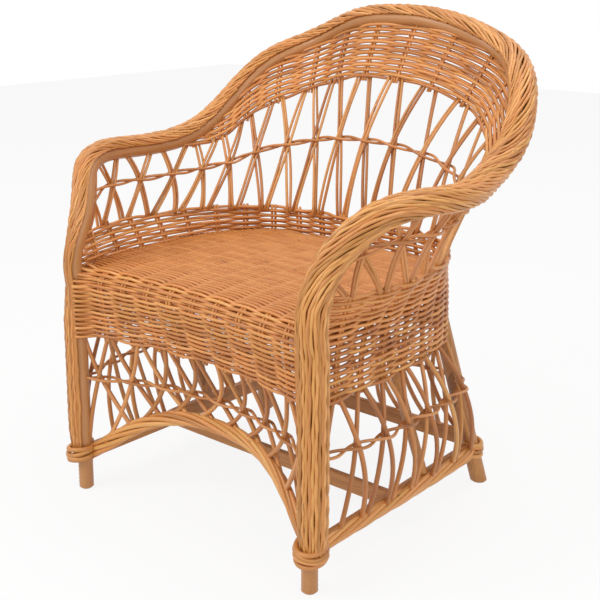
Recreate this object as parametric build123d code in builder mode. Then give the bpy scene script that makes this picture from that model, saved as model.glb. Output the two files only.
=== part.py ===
"""Woven willow tub armchair, in millimetres.

The chair faces -Y and stands on Z = 0. X = 0 is its plane of symmetry, and the
origin lies on the floor under the middle of the chair's overall plan. Every woven
piece follows one flared body: a stack of level curves, each open at the front
between the two front legs.
A place on a level is a share of the way round it, from the left front leg (0)
over the middle of the back (0.5) to the right front leg (1).
"""
from build123d import *
from bisect import bisect_right
import math
import os

os.makedirs("parts", exist_ok=True)

# ---- legs and bent hoop ----
hoop_diameter = 26.0
front_leg_spacing = 521.0
front_leg_y = -293.0
rear_leg_diameter = 30.0
rear_foot_spacing = 520.0
rear_foot_y = 185.0
rear_leg_top_spacing = 420.0
rear_leg_top_y = 84.0
leg_tip_bevel = 3.0
leg_trim = 20.0

arm_bend_height = 441.0
straight_lead = 60.0
arm_height = 573.0
arm_spacing = 698.0
arm_widest_y = -83.0
wing_spacing = 640.0
wing_y = 124.0
wing_height = 625.0
shoulder_spacing = 428.0
shoulder_y = 282.0
shoulder_height = 759.0
crown_y = 276.0
crown_height = 814.0

# shares of the way across, back and up from one named place on the hoop to the next
bend_low_shares = (0.03, 0.11, 0.38)
bend_high_shares = (0.53, 0.36, 0.91)
hollow_shares = (0.73, 0.64, 0.27)
sweep_shares = (0.44, 0.67, 0.74)
brow_shares = (0.63, 0.92, 0.90)
hoop_samples = 260

# ---- rolled border on the hoop ----
border_start_height = 72.0
border_rod_diameter = 15.0
border_shift_out = 9.0
border_shift_up = 5.0
border_width = 54.0
border_thickness = 46.0
border_spacing = 62.0
border_reach = 290.0
border_turn_start = -75.0
border_turn_end = 150.0
border_steps = 7
arm_border_share = 0.33

# ---- seat ----
seat_height = 410.0
seat_thickness = 14.0
seat_rail_diameter = 22.0
seat_edge_recess = 18.0
seat_edge_radius = 24.0

# ---- level curves of the body ----
base_height = 66.0
base_width = 528.0
base_back_y = 202.0
base_squareness = 15.0
twine_height = 208.0
twine_width = 579.0
twine_back_y = 141.0
twine_squareness = 8.7
apron_height = 287.0
apron_width = 531.0
apron_back_y = 160.0
apron_squareness = 5.0
waist_height = 454.0
waist_width = 643.0
waist_back_y = 144.0
waist_squareness = 3.1
flare_share = 0.35
side_middle_y = -76.0
corner_depth = 150.0
level_samples = 140

# ---- front skirt ----
apron_recess = 47.0
front_twine_recess = 78.0
arch_recess = 75.0
arch_rise = 97.0
arch_flatness = 3.0
arch_ease = 1.5
apron_turn = 0.7

# ---- weaving ----
band_thickness = 14.0
row_groove = 3.0
seat_row_count = 28
waist_row_count = 10
back_band_row_count = 7
apron_row_count = 8
waist_sections = 27
back_band_sections = 19
apron_sections = 9
back_bow = 0.06
back_band_start = 0.20
back_band_full = 0.29
back_band_edge = 0.71
back_band_tip = 0.015
gap_count = 23
front_gap_count = 10
foot_spread = 0.09
head_spread = 0.16
pair_rod_diameter = 5.6
pair_rod_gap = 0.6
skirt_rod_diameter = 7.5
twine_rod_diameter = 5.0
arm_twine_level = 0.57
back_twine_level = 0.40
base_rod_diameter = 9.0
base_rod_count = 3
base_sections = 35
arch_sections = 17
wrap_rod_diameter = 9.0
wrap_turns = 4
wrap_overlap = 1.0
wrap_sides = 14
weave_bite = 4.0

# ---- inner rails ----
rail_depth = 28.0
rail_thickness = 11.0
side_rail_height = 66.0
rear_rail_height = 84.0
cross_rail_y = -82.0
brace_diameter = 18.0
brace_foot_y = 8.0
brace_top_y = -92.0
front_rail_setback = 40.0
cross_bar_diameter = 16.0
cross_bar_count = 2
nail_head_diameter = 7.0
nail_head_height = 2.0

up = Vector(0, 0, 1)


def save(part, name):
    """Label a finished piece and write it to a file of its own."""
    part.label = name
    export_step(part, f"parts/{name}.step")


def group(parts):
    """Hold separate like pieces together as one node."""
    return Compound([solid for part in parts for solid in part.solids()])


def mirrored(point):
    """The same point on the other side of the chair."""
    return Vector(-point.X, point.Y, point.Z)


# ---- chains of points ----
class Chain:
    """A chain of points that can be read at a share of its length."""

    def __init__(self, points):
        self.points = points
        self.lengths = [0.0]
        for start, end in zip(points, points[1:]):
            self.lengths.append(self.lengths[-1] + (end - start).length)
        self.length = self.lengths[-1]

    def at(self, share):
        """The point at a share of the chain's length."""
        target = min(max(share, 0.0), 1.0) * self.length
        index = min(max(bisect_right(self.lengths, target), 1), len(self.points) - 1)
        span = self.lengths[index] - self.lengths[index - 1]
        part = (target - self.lengths[index - 1]) / span
        return self.points[index - 1] + (self.points[index] - self.points[index - 1]) * part


def level_curve(height, width, back_y, squareness):
    """A level curve, left leg to right leg: a squared oval whose sides swell out of the legs."""
    right = []
    front = front_leg_spacing / 2
    for step in range(level_samples + 1):
        angle = math.pi / 2 * step / level_samples
        along = math.sin(angle) ** (2 / squareness)
        across = math.cos(angle) ** (2 / squareness)
        flare = 1 - max(0.0, 1 - along / flare_share) ** 2
        x = (front + (width / 2 - front) * flare) * across
        right.append(Vector(x, front_leg_y + (back_y - front_leg_y) * along, height))
    return Chain([mirrored(point) for point in right] + right[-2::-1])


base_curve = level_curve(base_height, base_width, base_back_y, base_squareness)
twine_curve = level_curve(twine_height, twine_width, twine_back_y, twine_squareness)
apron_curve = level_curve(apron_height, apron_width, apron_back_y, apron_squareness)
waist_curve = level_curve(waist_height, waist_width, waist_back_y, waist_squareness)


# ---- bent hoop ----
def between(start, end, shares):
    """A place part of the way from one place to another, with a share for each axis."""
    way = end - start
    return start + Vector(way.X * shares[0], way.Y * shares[1], way.Z * shares[2])


def hoop_key_points():
    """Points on the right half of the hoop, from just under the arm bend up to the brow."""
    post = Vector(front_leg_spacing / 2, front_leg_y, arm_bend_height)
    arm = Vector(arm_spacing / 2, arm_widest_y, arm_height)
    wing = Vector(wing_spacing / 2, wing_y, wing_height)
    shoulder = Vector(shoulder_spacing / 2, shoulder_y, shoulder_height)
    crown = Vector(0, crown_y, crown_height)
    return [
        post - up * straight_lead,
        post,
        between(post, arm, bend_low_shares),
        between(post, arm, bend_high_shares),
        arm,
        between(arm, wing, hollow_shares),
        wing,
        between(wing, shoulder, sweep_shares),
        shoulder,
        between(shoulder, crown, brow_shares),
    ]


with BuildLine() as hoop_line:
    right_run = hoop_key_points()
    left_run = [mirrored(point) for point in right_run]
    rim_spline = Spline(*left_run, Vector(0, crown_y, crown_height), *right_run[::-1])
    Line(rim_spline @ 1, Vector(front_leg_spacing / 2, front_leg_y, -leg_trim))
    Line(Vector(-front_leg_spacing / 2, front_leg_y, -leg_trim), rim_spline @ 0)

with BuildPart() as bent_hoop:
    with BuildSketch(Plane.XY.offset(-leg_trim)):
        with Locations((-front_leg_spacing / 2, front_leg_y)):
            Circle(hoop_diameter / 2)
    sweep(path=hoop_line.wire())
    split(bisect_by=Plane.XY, keep=Keep.TOP)
    chamfer(bent_hoop.edges().group_by(Axis.Z)[0], leg_tip_bevel)
save(bent_hoop.part, "bent_hoop")

rim_points = [rim_spline @ (step / hoop_samples) for step in range(hoop_samples + 1)]
rim_curve = Chain([point for point in rim_points if point.Z >= waist_height])


# ---- places on the woven body ----
def inward(point):
    """Level direction from a place on the body towards the sitter."""
    behind = point.Y - side_middle_y
    turn = min(max(behind / corner_depth, 0.0), 1.0)
    return Vector(-point.X, -turn * abs(behind), 0).normalized()


def back_point(share, level):
    """The upper body: from the waist (level 0) to the middle of the hoop (level 1)."""
    waist = waist_curve.at(share)
    rise = rim_curve.at(share) - waist
    bow = back_bow * rise.length * 4 * level * (1 - level)
    return waist + rise * level + inward(waist) * bow


def band_point(share, level):
    """The waist band: from the apron's lower edge (level 0) to the waist (level 1)."""
    low = apron_curve.at(share)
    high = waist_curve.at(share)
    swell = (high - low).dot(inward(low)) * level**3
    return low + inward(low) * swell + up * (high.Z - low.Z) * level


def hoop_level(share, into):
    """The level at which a rod end is sunk into the hoop by a given depth."""
    rise = (rim_curve.at(share) - waist_curve.at(share)).length
    return 1 - (hoop_diameter / 2 - into) / max(rise, hoop_diameter)


def back_band_level(share):
    """The level of the back band's lower edge, which runs up into the hoop at the wings."""
    half = min(share, 1 - share)
    ease = min(max((half - back_band_start) / (back_band_full - back_band_start), 0.0), 1.0)
    full = hoop_level(share, weave_bite)
    return full + (back_band_edge - full) * math.sin(ease * math.pi / 2)


def twine_share(share):
    """The level at which the stakes of the arms and back cross."""
    half = min(share, 1 - share)
    ease = min(max((half - back_band_start) / (back_band_full - back_band_start), 0.0), 1.0)
    return arm_twine_level + (back_twine_level - arm_twine_level) * ease


def front_point(share, height, recess):
    """A place on the front skirt, which bows back between the two front legs."""
    side = 2 * share - 1
    return Vector(side * front_leg_spacing / 2, front_leg_y + recess * (1 - side * side), height)


def arch_point(share, lift=0.0):
    """A place on the arched border of the front skirt."""
    side = abs(2 * share - 1)
    rise = arch_rise * (1 - side**arch_flatness) ** arch_ease
    return front_point(share, base_height + lift + rise, arch_recess)


# ---- rods ----
def rod_planes(points):
    """Planes square to a bent rod at each of its points, with no twist between them."""
    planes = []
    across = None
    for index, point in enumerate(points):
        ahead = points[min(index + 1, len(points) - 1)]
        behind = points[max(index - 1, 0)]
        along = (ahead - behind).normalized()
        if across is None:
            across = along.cross(up) if abs(along.Z) < 0.9 else along.cross(Vector(0, 1, 0))
        across = (across - along * across.dot(along)).normalized()
        planes.append(Plane(origin=point, x_dir=across, z_dir=along))
    return planes


def bent_rod(points, diameter, sides=6):
    """A peeled rod laid along a few points."""
    with BuildPart() as rod:
        for plane in rod_planes(points):
            with BuildSketch(plane):
                RegularPolygon(diameter / 2, sides)
        loft(ruled=True)
    return rod.part


def pole(start, end, diameter, cut_start=0.0, cut_end=0.0):
    """A straight round pole between two places, cut back at each end to meet its neighbour."""
    along = (end - start).normalized()
    first = start + along * cut_start
    with BuildPart() as piece:
        with BuildSketch(Plane(origin=first, z_dir=along)):
            Circle(diameter / 2)
        extrude(amount=(end - along * cut_end - first).length)
    return piece.part


def beside(points, shift):
    """A rod's points moved sideways along the body, for the second rod of a pair."""
    moved = []
    for index, point in enumerate(points):
        ahead = points[min(index + 1, len(points) - 1)]
        behind = points[max(index - 1, 0)]
        sideways = (ahead - behind).normalized().cross(inward(point)).normalized()
        moved.append(point + sideways * shift)
    return moved


# ---- rear legs ----
def rear_leg_place(side, height):
    """The middle of a raked rear leg at a height."""
    share = height / (seat_height - seat_thickness)
    x = rear_foot_spacing + (rear_leg_top_spacing - rear_foot_spacing) * share
    return Vector(side * x / 2, rear_foot_y + (rear_leg_top_y - rear_foot_y) * share, height)


for name, side in (("rear_leg_left", -1), ("rear_leg_right", 1)):
    foot = rear_leg_place(side, 0)
    head = rear_leg_place(side, seat_height - seat_thickness)
    with BuildPart() as rear_leg:
        with BuildSketch(Plane.XY):
            with Locations((foot.X, foot.Y)):
                Circle(rear_leg_diameter / 2)
        with BuildSketch(Plane.XY.offset(head.Z)):
            with Locations((head.X, head.Y)):
                Circle(rear_leg_diameter / 2)
        loft()
        chamfer(rear_leg.edges().group_by(Axis.Z)[0], leg_tip_bevel)
        chamfer(rear_leg.edges().group_by(Axis.Z)[-1], leg_tip_bevel)
    save(rear_leg.part, name)


# ---- seat frame ----
seat_rail_height = seat_height - seat_thickness - seat_rail_diameter / 2


def front_leg_place(side, height):
    """The middle of a front leg at a height."""
    return Vector(side * front_leg_spacing / 2, front_leg_y, height)


def side_rail_place(side, y):
    """The middle of a seat side rail at a depth."""
    start = front_leg_place(side, seat_rail_height)
    end = rear_leg_place(side, seat_rail_height)
    return start + (end - start) * ((y - start.Y) / (end.Y - start.Y))


leg_cut = hoop_diameter / 2
rear_cut = rear_leg_diameter / 2
rail_cut = seat_rail_diameter / 2
for name, side in (("seat_side_rail_left", -1), ("seat_side_rail_right", 1)):
    start = front_leg_place(side, seat_rail_height)
    end = rear_leg_place(side, seat_rail_height)
    save(pole(start, end, seat_rail_diameter, leg_cut, rear_cut), name)

left_end = rear_leg_place(-1, seat_rail_height)
right_end = rear_leg_place(1, seat_rail_height)
save(pole(left_end, right_end, seat_rail_diameter, rear_cut, rear_cut), "seat_back_rail")

front_rail_y = front_leg_y + front_rail_setback
left_end = side_rail_place(-1, front_rail_y)
right_end = side_rail_place(1, front_rail_y)
save(pole(left_end, right_end, seat_rail_diameter, rail_cut, rail_cut), "seat_front_rail")

cross_bars = []
for index in range(cross_bar_count):
    bar_y = front_rail_y + (rear_leg_top_y - front_rail_y) * (index + 1) / (cross_bar_count + 1)
    left_end = side_rail_place(-1, bar_y) + up * (seat_rail_diameter - cross_bar_diameter) / 2
    right_end = side_rail_place(1, bar_y) + up * (seat_rail_diameter - cross_bar_diameter) / 2
    cross_bars.append(pole(left_end, right_end, cross_bar_diameter, rail_cut, rail_cut))
save(group(cross_bars), "seat_cross_bars")


# ---- base rails and braces ----
def flat_rail(start, end, cut_start, cut_end):
    """A flat strip standing on edge between two places."""
    along = (end - start).normalized()
    first = start + along * cut_start
    with BuildPart() as rail:
        with BuildSketch(Plane(origin=first, x_dir=up, z_dir=along)):
            RectangleRounded(rail_depth, rail_thickness, rail_thickness / 4)
        extrude(amount=(end - along * cut_end - first).length)
    return rail.part


def base_rail_place(side, y):
    """The middle of a base side rail at a depth."""
    start = front_leg_place(side, side_rail_height)
    end = rear_leg_place(side, side_rail_height)
    return start + (end - start) * ((y - start.Y) / (end.Y - start.Y))


for name, side in (("base_side_rail_left", -1), ("base_side_rail_right", 1)):
    start = front_leg_place(side, side_rail_height)
    end = rear_leg_place(side, side_rail_height)
    save(flat_rail(start, end, leg_cut, rear_cut), name)

left_end = rear_leg_place(-1, rear_rail_height)
right_end = rear_leg_place(1, rear_rail_height)
save(flat_rail(left_end, right_end, rear_cut, rear_cut), "base_rear_rail")

left_end = base_rail_place(-1, cross_rail_y)
right_end = base_rail_place(1, cross_rail_y)
save(flat_rail(left_end, right_end, rail_thickness / 2, rail_thickness / 2), "base_cross_rail")

for name, side in (("side_brace_left", -1), ("side_brace_right", 1)):
    foot = base_rail_place(side, brace_foot_y) + up * rail_depth / 2
    head = side_rail_place(side, brace_top_y) - up * seat_rail_diameter / 2
    with BuildPart() as brace:
        with BuildSketch(Plane.XY.offset(foot.Z)):
            with Locations((foot.X, foot.Y)):
                Circle(brace_diameter / 2)
        with BuildSketch(Plane.XY.offset(head.Z)):
            with Locations((head.X, head.Y)):
                Circle(brace_diameter / 2)
        loft()
    save(brace.part, name)

nails = []
for side in (-1, 1):
    for y in (front_leg_y + rail_depth, cross_rail_y + rail_depth, rear_foot_y - 2 * rail_depth):
        seat = base_rail_place(side, y) - Vector(side * rail_thickness / 2, 0, 0)
        with BuildPart() as nail:
            with BuildSketch(Plane(origin=seat, z_dir=(-side, 0, 0))):
                Circle(nail_head_diameter / 2)
            extrude(amount=nail_head_height)
        nails.append(nail.part)
save(group(nails), "rail_nails")


# ---- seat ----
def spread(start, end, count):
    """Even steps from one value to another."""
    return [start + (end - start) * step / (count - 1) for step in range(count)]


def row_sink(index):
    """How far a sheet's face lies back: not at all on a woven row, by a groove between two."""
    return row_groove if index % 2 else 0.0


seat_level = (seat_height - apron_height) / (waist_height - apron_height)
seat_front_y = front_leg_y + seat_edge_radius
outline_steps = 30
seat_rim = [band_point(step / outline_steps, seat_level) for step in range(outline_steps + 1)]
seat_rim = [point for point in seat_rim if point.Y > seat_front_y + seat_edge_radius]
side_x = seat_rim[0].X - (seat_rim[1].X - seat_rim[0].X) * (seat_rim[0].Y - seat_front_y) / (
    seat_rim[1].Y - seat_rim[0].Y
)
seat_rows = spread(seat_front_y, waist_back_y, 2 * seat_row_count + 1)
with BuildPart() as seat_weave:
    with BuildSketch(Plane.XY.offset(seat_height - seat_thickness)):
        with BuildLine():
            flat_rim = [(point.X, point.Y) for point in seat_rim]
            Polyline((side_x, seat_front_y), *flat_rim, (-side_x, seat_front_y))
            ThreePointArc((-side_x, seat_front_y), (0, seat_front_y + seat_edge_recess), (side_x, seat_front_y))
        make_face()
        offset(amount=-band_thickness / 2, kind=Kind.INTERSECTION)
    extrude(amount=seat_thickness)
    with BuildSketch(Plane.YZ):
        with BuildLine():
            crests = [(y, seat_height - row_sink(row)) for row, y in enumerate(seat_rows)]
            floor_level = seat_height - seat_thickness
            Polyline((seat_rows[0], floor_level), *crests, (seat_rows[-1], floor_level), close=True)
        make_face()
    extrude(amount=waist_width / 2, both=True, mode=Mode.INTERSECT)
save(seat_weave.part, "seat_weave")


# ---- woven bands ----
def sheet_section(points, plane):
    """Outline of a sheet cut across its rows, with a groove on both faces between the rows."""
    flat = [plane.to_local_coords(point) for point in points]
    outer = []
    inner = []
    for index, point in enumerate(flat):
        ahead = flat[min(index + 1, len(flat) - 1)]
        behind = flat[max(index - 1, 0)]
        along = Vector(ahead.X - behind.X, ahead.Y - behind.Y, 0).normalized()
        square = Vector(-along.Y, along.X, 0) * (band_thickness / 2 - row_sink(index))
        outer.append((point.X + square.X, point.Y + square.Y))
        inner.append((point.X - square.X, point.Y - square.Y))
    return outer + inner[::-1]


def woven_sheet(place, facing, shares, levels):
    """A closed woven sheet: one section across its rows at each share, joined along the rows."""
    with BuildPart() as sheet:
        for share in shares:
            points = [place(share, level) for level in levels]
            rise = points[-1] - points[0]
            plane = Plane(origin=points[0], x_dir=rise, z_dir=rise.cross(facing(points[0])))
            with BuildSketch(plane):
                with BuildLine():
                    Polyline(*sheet_section(points, plane), close=True)
                make_face()
        loft(ruled=True)
    return sheet.part


def back_band_point(share, depth):
    """The back band, from its lower edge (depth 0) to the hoop (depth 1)."""
    low = back_band_level(share)
    high = hoop_level(share, weave_bite)
    return back_point(share, low + (high - low) * depth)


def backward(point):
    """The way into the chair from its front skirt."""
    return Vector(0, 1, 0)


def apron_point(share, fall):
    """The front apron: its hem (fall 0), up to and over the rolled seat edge (fall 1)."""
    top = seat_height - band_thickness / 2 - seat_edge_radius
    if fall > apron_turn:
        angle = math.pi / 2 * (fall - apron_turn) / (1 - apron_turn)
        edge = front_point(share, top, seat_edge_recess)
        return edge + Vector(0, seat_edge_radius * (1 - math.cos(angle)), seat_edge_radius * math.sin(angle))
    part = fall / apron_turn
    recess = apron_recess + (seat_edge_recess - apron_recess) * part
    return front_point(share, apron_height + (top - apron_height) * part, recess)


leg_share = hoop_diameter / 2 / waist_curve.length
sections = spread(leg_share, 1 - leg_share, waist_sections)
rows = spread(0, 1, 2 * waist_row_count + 1)
save(woven_sheet(band_point, inward, sections, rows), "waist_band")

band_end = back_band_start + back_band_tip
sections = spread(band_end, 1 - band_end, back_band_sections)
rows = spread(0, 1, 2 * back_band_row_count + 1)
save(woven_sheet(back_band_point, inward, sections, rows), "back_band")

front_share = (hoop_diameter / 2 - weave_bite) / front_leg_spacing
sections = spread(front_share, 1 - front_share, apron_sections)
rows = spread(0, 1, 2 * apron_row_count + 1)
save(woven_sheet(apron_point, backward, sections, rows), "front_apron")


# ---- rolled border on the hoop ----
def border_path():
    """The hoop's middle line from the foot of the border on the left leg to the one on the right."""
    foot = Vector(front_leg_spacing / 2, front_leg_y, border_start_height)
    return Chain([mirrored(foot)] + rim_points + [foot])


border_line = border_path()
border_climb = arm_bend_height - border_start_height
border_turn = border_turn_end - border_turn_start


def border_place(distance, angle):
    """A place on the border: a distance along the hoop and an angle round it, 0 outwards, 90 up."""
    share = distance / border_line.length
    step = 0.5 * hoop_diameter / border_line.length
    centre = border_line.at(share)
    along = (border_line.at(share + step) - border_line.at(share - step)).normalized()
    away = -1 * inward(centre)
    away = (away - along * away.dot(along)).normalized()
    over = along.cross(away)
    turn = math.radians(angle)
    out = border_shift_out + (border_width - border_rod_diameter) / 2 * math.cos(turn)
    rise = border_shift_up + (border_thickness - border_rod_diameter) / 2 * math.sin(turn)
    clear = (hoop_diameter + border_rod_diameter) / 2
    scale = max(1.0, clear / math.hypot(out, rise))
    return centre + (away * out + over * rise) * scale


def border_rod(start):
    """One border rod that starts under the hoop and winds over it to the sitter's side."""
    first = border_climb
    last = border_line.length - border_climb
    reach = border_reach
    places = []
    if start < first:
        places.append((0.0, border_turn_start + border_turn * (first - start) / reach))
    for step in range(border_steps + 1):
        distance = start + reach * step / border_steps
        if first <= distance <= last:
            places.append((distance, border_turn_start + border_turn * step / border_steps))
    if start + reach > last:
        places.append((border_line.length, border_turn_start + border_turn * (last - start) / reach))
    return bent_rod([border_place(distance, angle) for distance, angle in places], border_rod_diameter)


border_rods = {"border_left_arm": [], "border_back": [], "border_right_arm": []}
start = border_climb - border_reach + border_spacing
while start < border_line.length - border_climb - border_spacing / 2:
    middle = (start + border_reach / 2) / border_line.length
    if middle < arm_border_share:
        border_rods["border_left_arm"].append(border_rod(start))
    elif middle < 1 - arm_border_share:
        border_rods["border_back"].append(border_rod(start))
    else:
        border_rods["border_right_arm"].append(border_rod(start))
    start += border_spacing
for name, rods in border_rods.items():
    save(group(rods), name)


# ---- crossing stakes of the arms and back ----
def stake_pair(station, lean):
    """Two rods side by side from one waist station to the next place along the top."""
    foot_share = (station + lean * foot_spread) / gap_count
    cross_share = (station + lean / 2) / gap_count
    head_share = (station + lean * (1 - head_spread)) / gap_count
    bite = weave_bite / (rim_curve.at(foot_share) - waist_curve.at(foot_share)).length
    bite_top = weave_bite / (rim_curve.at(head_share) - waist_curve.at(head_share)).length
    middle = back_point(cross_share, twine_share(cross_share))
    layer = inward(middle) * lean * pair_rod_diameter / 2
    points = [
        back_point(foot_share, -bite),
        middle + layer,
        back_point(head_share, back_band_level(head_share) + bite_top),
    ]
    gap = (pair_rod_diameter + pair_rod_gap) / 2
    return [bent_rod(beside(points, shift), pair_rod_diameter) for shift in (-gap, gap)]


for name, lean in (("back_stakes_leaning_left", -1), ("back_stakes_leaning_right", 1)):
    stakes = [rod for station in range(1, gap_count) for rod in stake_pair(station, lean)]
    save(group(stakes), name)


# ---- crossing rods of the skirt ----
def skirt_rod(station, lean):
    """One rod from the waist band down to the next place along the base border."""
    foot = base_curve.at((station + lean * (1 - foot_spread)) / gap_count)
    middle = twine_curve.at((station + lean / 2) / gap_count)
    head = band_point((station + lean * foot_spread) / gap_count, 0)
    layer = inward(middle) * lean * skirt_rod_diameter / 2
    return bent_rod([head + up * weave_bite, middle + layer, foot], skirt_rod_diameter)


def front_rod(station, lean):
    """One rod from the front apron down to the next place along the arched border."""
    foot = arch_point((station + lean * (1 - foot_spread)) / front_gap_count)
    middle = front_point((station + lean / 2) / front_gap_count, twine_height, front_twine_recess)
    head_share = (station + lean * foot_spread) / front_gap_count
    head = front_point(head_share, apron_height + weave_bite, apron_recess)
    layer = Vector(0, lean * skirt_rod_diameter / 2, 0)
    return bent_rod([head, middle + layer, foot], skirt_rod_diameter)


for name, lean in (("skirt_rods_leaning_left", -1), ("skirt_rods_leaning_right", 1)):
    save(group([skirt_rod(station, lean) for station in range(1, gap_count)]), name)
for name, lean in (("front_rods_leaning_left", -1), ("front_rods_leaning_right", 1)):
    save(group([front_rod(station, lean) for station in range(1, front_gap_count)]), name)


# ---- twined lines over the crossings ----
def twine_rods(places, facing, clear):
    """Two rods along a line, one on each face of the crossing rods."""
    rods = []
    for side in (-1, 1):
        points = [place + facing(place) * side * clear for place in places]
        rods.append(bent_rod(points, twine_rod_diameter))
    return group(rods)


leg_gap = (hoop_diameter / 2) / waist_curve.length
twine_shares = spread(leg_gap, 1 - leg_gap, 2 * gap_count)
back_places = [back_point(share, twine_share(share)) for share in twine_shares]
save(twine_rods(back_places, inward, pair_rod_diameter + twine_rod_diameter / 2), "back_twine")
skirt_places = [twine_curve.at(share) for share in twine_shares]
save(twine_rods(skirt_places, inward, skirt_rod_diameter + twine_rod_diameter / 2), "skirt_twine")
sections = spread(front_share, 1 - front_share, arch_sections)
front_places = [front_point(share, twine_height, front_twine_recess) for share in sections]
save(twine_rods(front_places, backward, skirt_rod_diameter + twine_rod_diameter / 2), "front_twine")


# ---- base border and leg wraps ----
def stacked_rods(place, shares):
    """Border rods laid one on another along a line."""
    rods = []
    for row in range(base_rod_count):
        lift = (row - (base_rod_count - 1) / 2) * base_rod_diameter
        rods.append(bent_rod([place(share) + up * lift for share in shares], base_rod_diameter))
    return group(rods)


save(stacked_rods(base_curve.at, spread(leg_gap, 1 - leg_gap, base_sections)), "base_border")
save(stacked_rods(arch_point, spread(front_share, 1 - front_share, arch_sections)), "arched_border")


def leg_wrap(middle, along, hole_radius):
    """A rod wound close round a leg, with one ridge for each turn."""
    pitch = wrap_rod_diameter - wrap_overlap
    length = pitch * wrap_turns
    low = middle - along * length / 2
    with BuildPart() as wrap:
        for step in range(2 * wrap_turns + 1):
            radius = hole_radius + wrap_rod_diameter * (1 if step % 2 else 0.5)
            with BuildSketch(Plane(origin=low + along * pitch * step / 2, z_dir=along)):
                RegularPolygon(radius, wrap_sides)
        loft(ruled=True)
        with BuildSketch(Plane(origin=low, z_dir=along)):
            RegularPolygon(hole_radius, wrap_sides, major_radius=False)
        extrude(amount=length, mode=Mode.SUBTRACT)
    return wrap.part


for name, side in (("left", -1), ("right", 1)):
    bundle_middle = front_leg_place(side, base_height) + Vector(side * border_shift_out, 0, 0)
    save(leg_wrap(bundle_middle, up, hoop_diameter / 2 + border_shift_out), f"leg_wrap_front_{name}")
    leg_middle = rear_leg_place(side, base_height)
    rake = (rear_leg_place(side, seat_height) - leg_middle).normalized()
    save(leg_wrap(leg_middle, rake, rear_leg_diameter / 2), f"leg_wrap_rear_{name}")
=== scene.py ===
"""Dressed model of a woven willow tub armchair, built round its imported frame.

Lengths are in metres and the axes are the frame's own: the sitter faces -Y, X = 0 is
the plane of symmetry and the floor is Z = 0. Every woven piece follows one flared body.
A place on a level of that body is a share of the way round it, from the left front leg
(0) over the middle of the back (0.5) to the right front leg (1). Fields named thinnest
and thickest are the range of a rod's thickness, as shares of the diameter beside them.
"""

import logging
import math
from collections.abc import Sequence
from dataclasses import dataclass, field
from enum import Enum

import bpy
import numpy as np
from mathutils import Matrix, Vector


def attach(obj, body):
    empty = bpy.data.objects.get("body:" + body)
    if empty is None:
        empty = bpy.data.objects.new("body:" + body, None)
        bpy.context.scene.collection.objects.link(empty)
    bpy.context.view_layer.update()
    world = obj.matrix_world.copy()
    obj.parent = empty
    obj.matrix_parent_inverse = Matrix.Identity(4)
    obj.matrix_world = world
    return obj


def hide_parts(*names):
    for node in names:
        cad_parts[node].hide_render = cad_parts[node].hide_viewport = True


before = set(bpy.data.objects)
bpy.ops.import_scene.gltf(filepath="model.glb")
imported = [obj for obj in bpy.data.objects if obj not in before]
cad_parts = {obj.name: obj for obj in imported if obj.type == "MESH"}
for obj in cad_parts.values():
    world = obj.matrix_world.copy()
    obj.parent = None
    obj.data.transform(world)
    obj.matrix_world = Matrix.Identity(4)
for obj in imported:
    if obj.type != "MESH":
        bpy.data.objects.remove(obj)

LOG = logging.getLogger("willow_armchair")
Colour = tuple[float, float, float]
Place = tuple[float, float, float]
BODY_NAME = "root"
ROD_UV = "rod_uv"
ROD_TONE = "rod_tone"
ACROSS = np.array([1.0, 0.0, 0.0])
FORWARD = np.array([0.0, -1.0, 0.0])
UP = np.array([0.0, 0.0, 1.0])
WHOLE_PHASE = 6.28  # radians, all but a whole turn


# ---- arrays of points ----
def unit(vectors: np.ndarray) -> np.ndarray:
    """Each vector of an array divided by its length."""
    return vectors / np.maximum(np.linalg.norm(vectors, axis=-1, keepdims=True), 1e-12)


def dot(first: np.ndarray, second: np.ndarray) -> np.ndarray:
    """Row by row product of two arrays of vectors, kept as a column."""
    return np.sum(first * second, axis=-1, keepdims=True)


def running_length(points: np.ndarray) -> np.ndarray:
    """Length of a chain from its start up to each of its points."""
    return np.concatenate(([0.0], np.cumsum(np.linalg.norm(np.diff(points, axis=0), axis=1))))


def along_chain(points: np.ndarray, shares: np.ndarray) -> np.ndarray:
    """Reads a chain of points at shares of its length, straight between its points.

    Args:
        points: the chain, one row for each point.
        shares: where to read it, from 0 at its start to 1 at its end.

    Returns:
        One row for each share.
    """
    run = running_length(points)
    wanted = np.clip(shares, 0.0, 1.0) * run[-1]
    return np.stack([np.interp(wanted, run, points[:, axis]) for axis in range(3)], axis=-1)


def mirrored(points: np.ndarray) -> np.ndarray:
    """The same points on the other side of the chair."""
    return points * np.array([-1.0, 1.0, 1.0])


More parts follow.
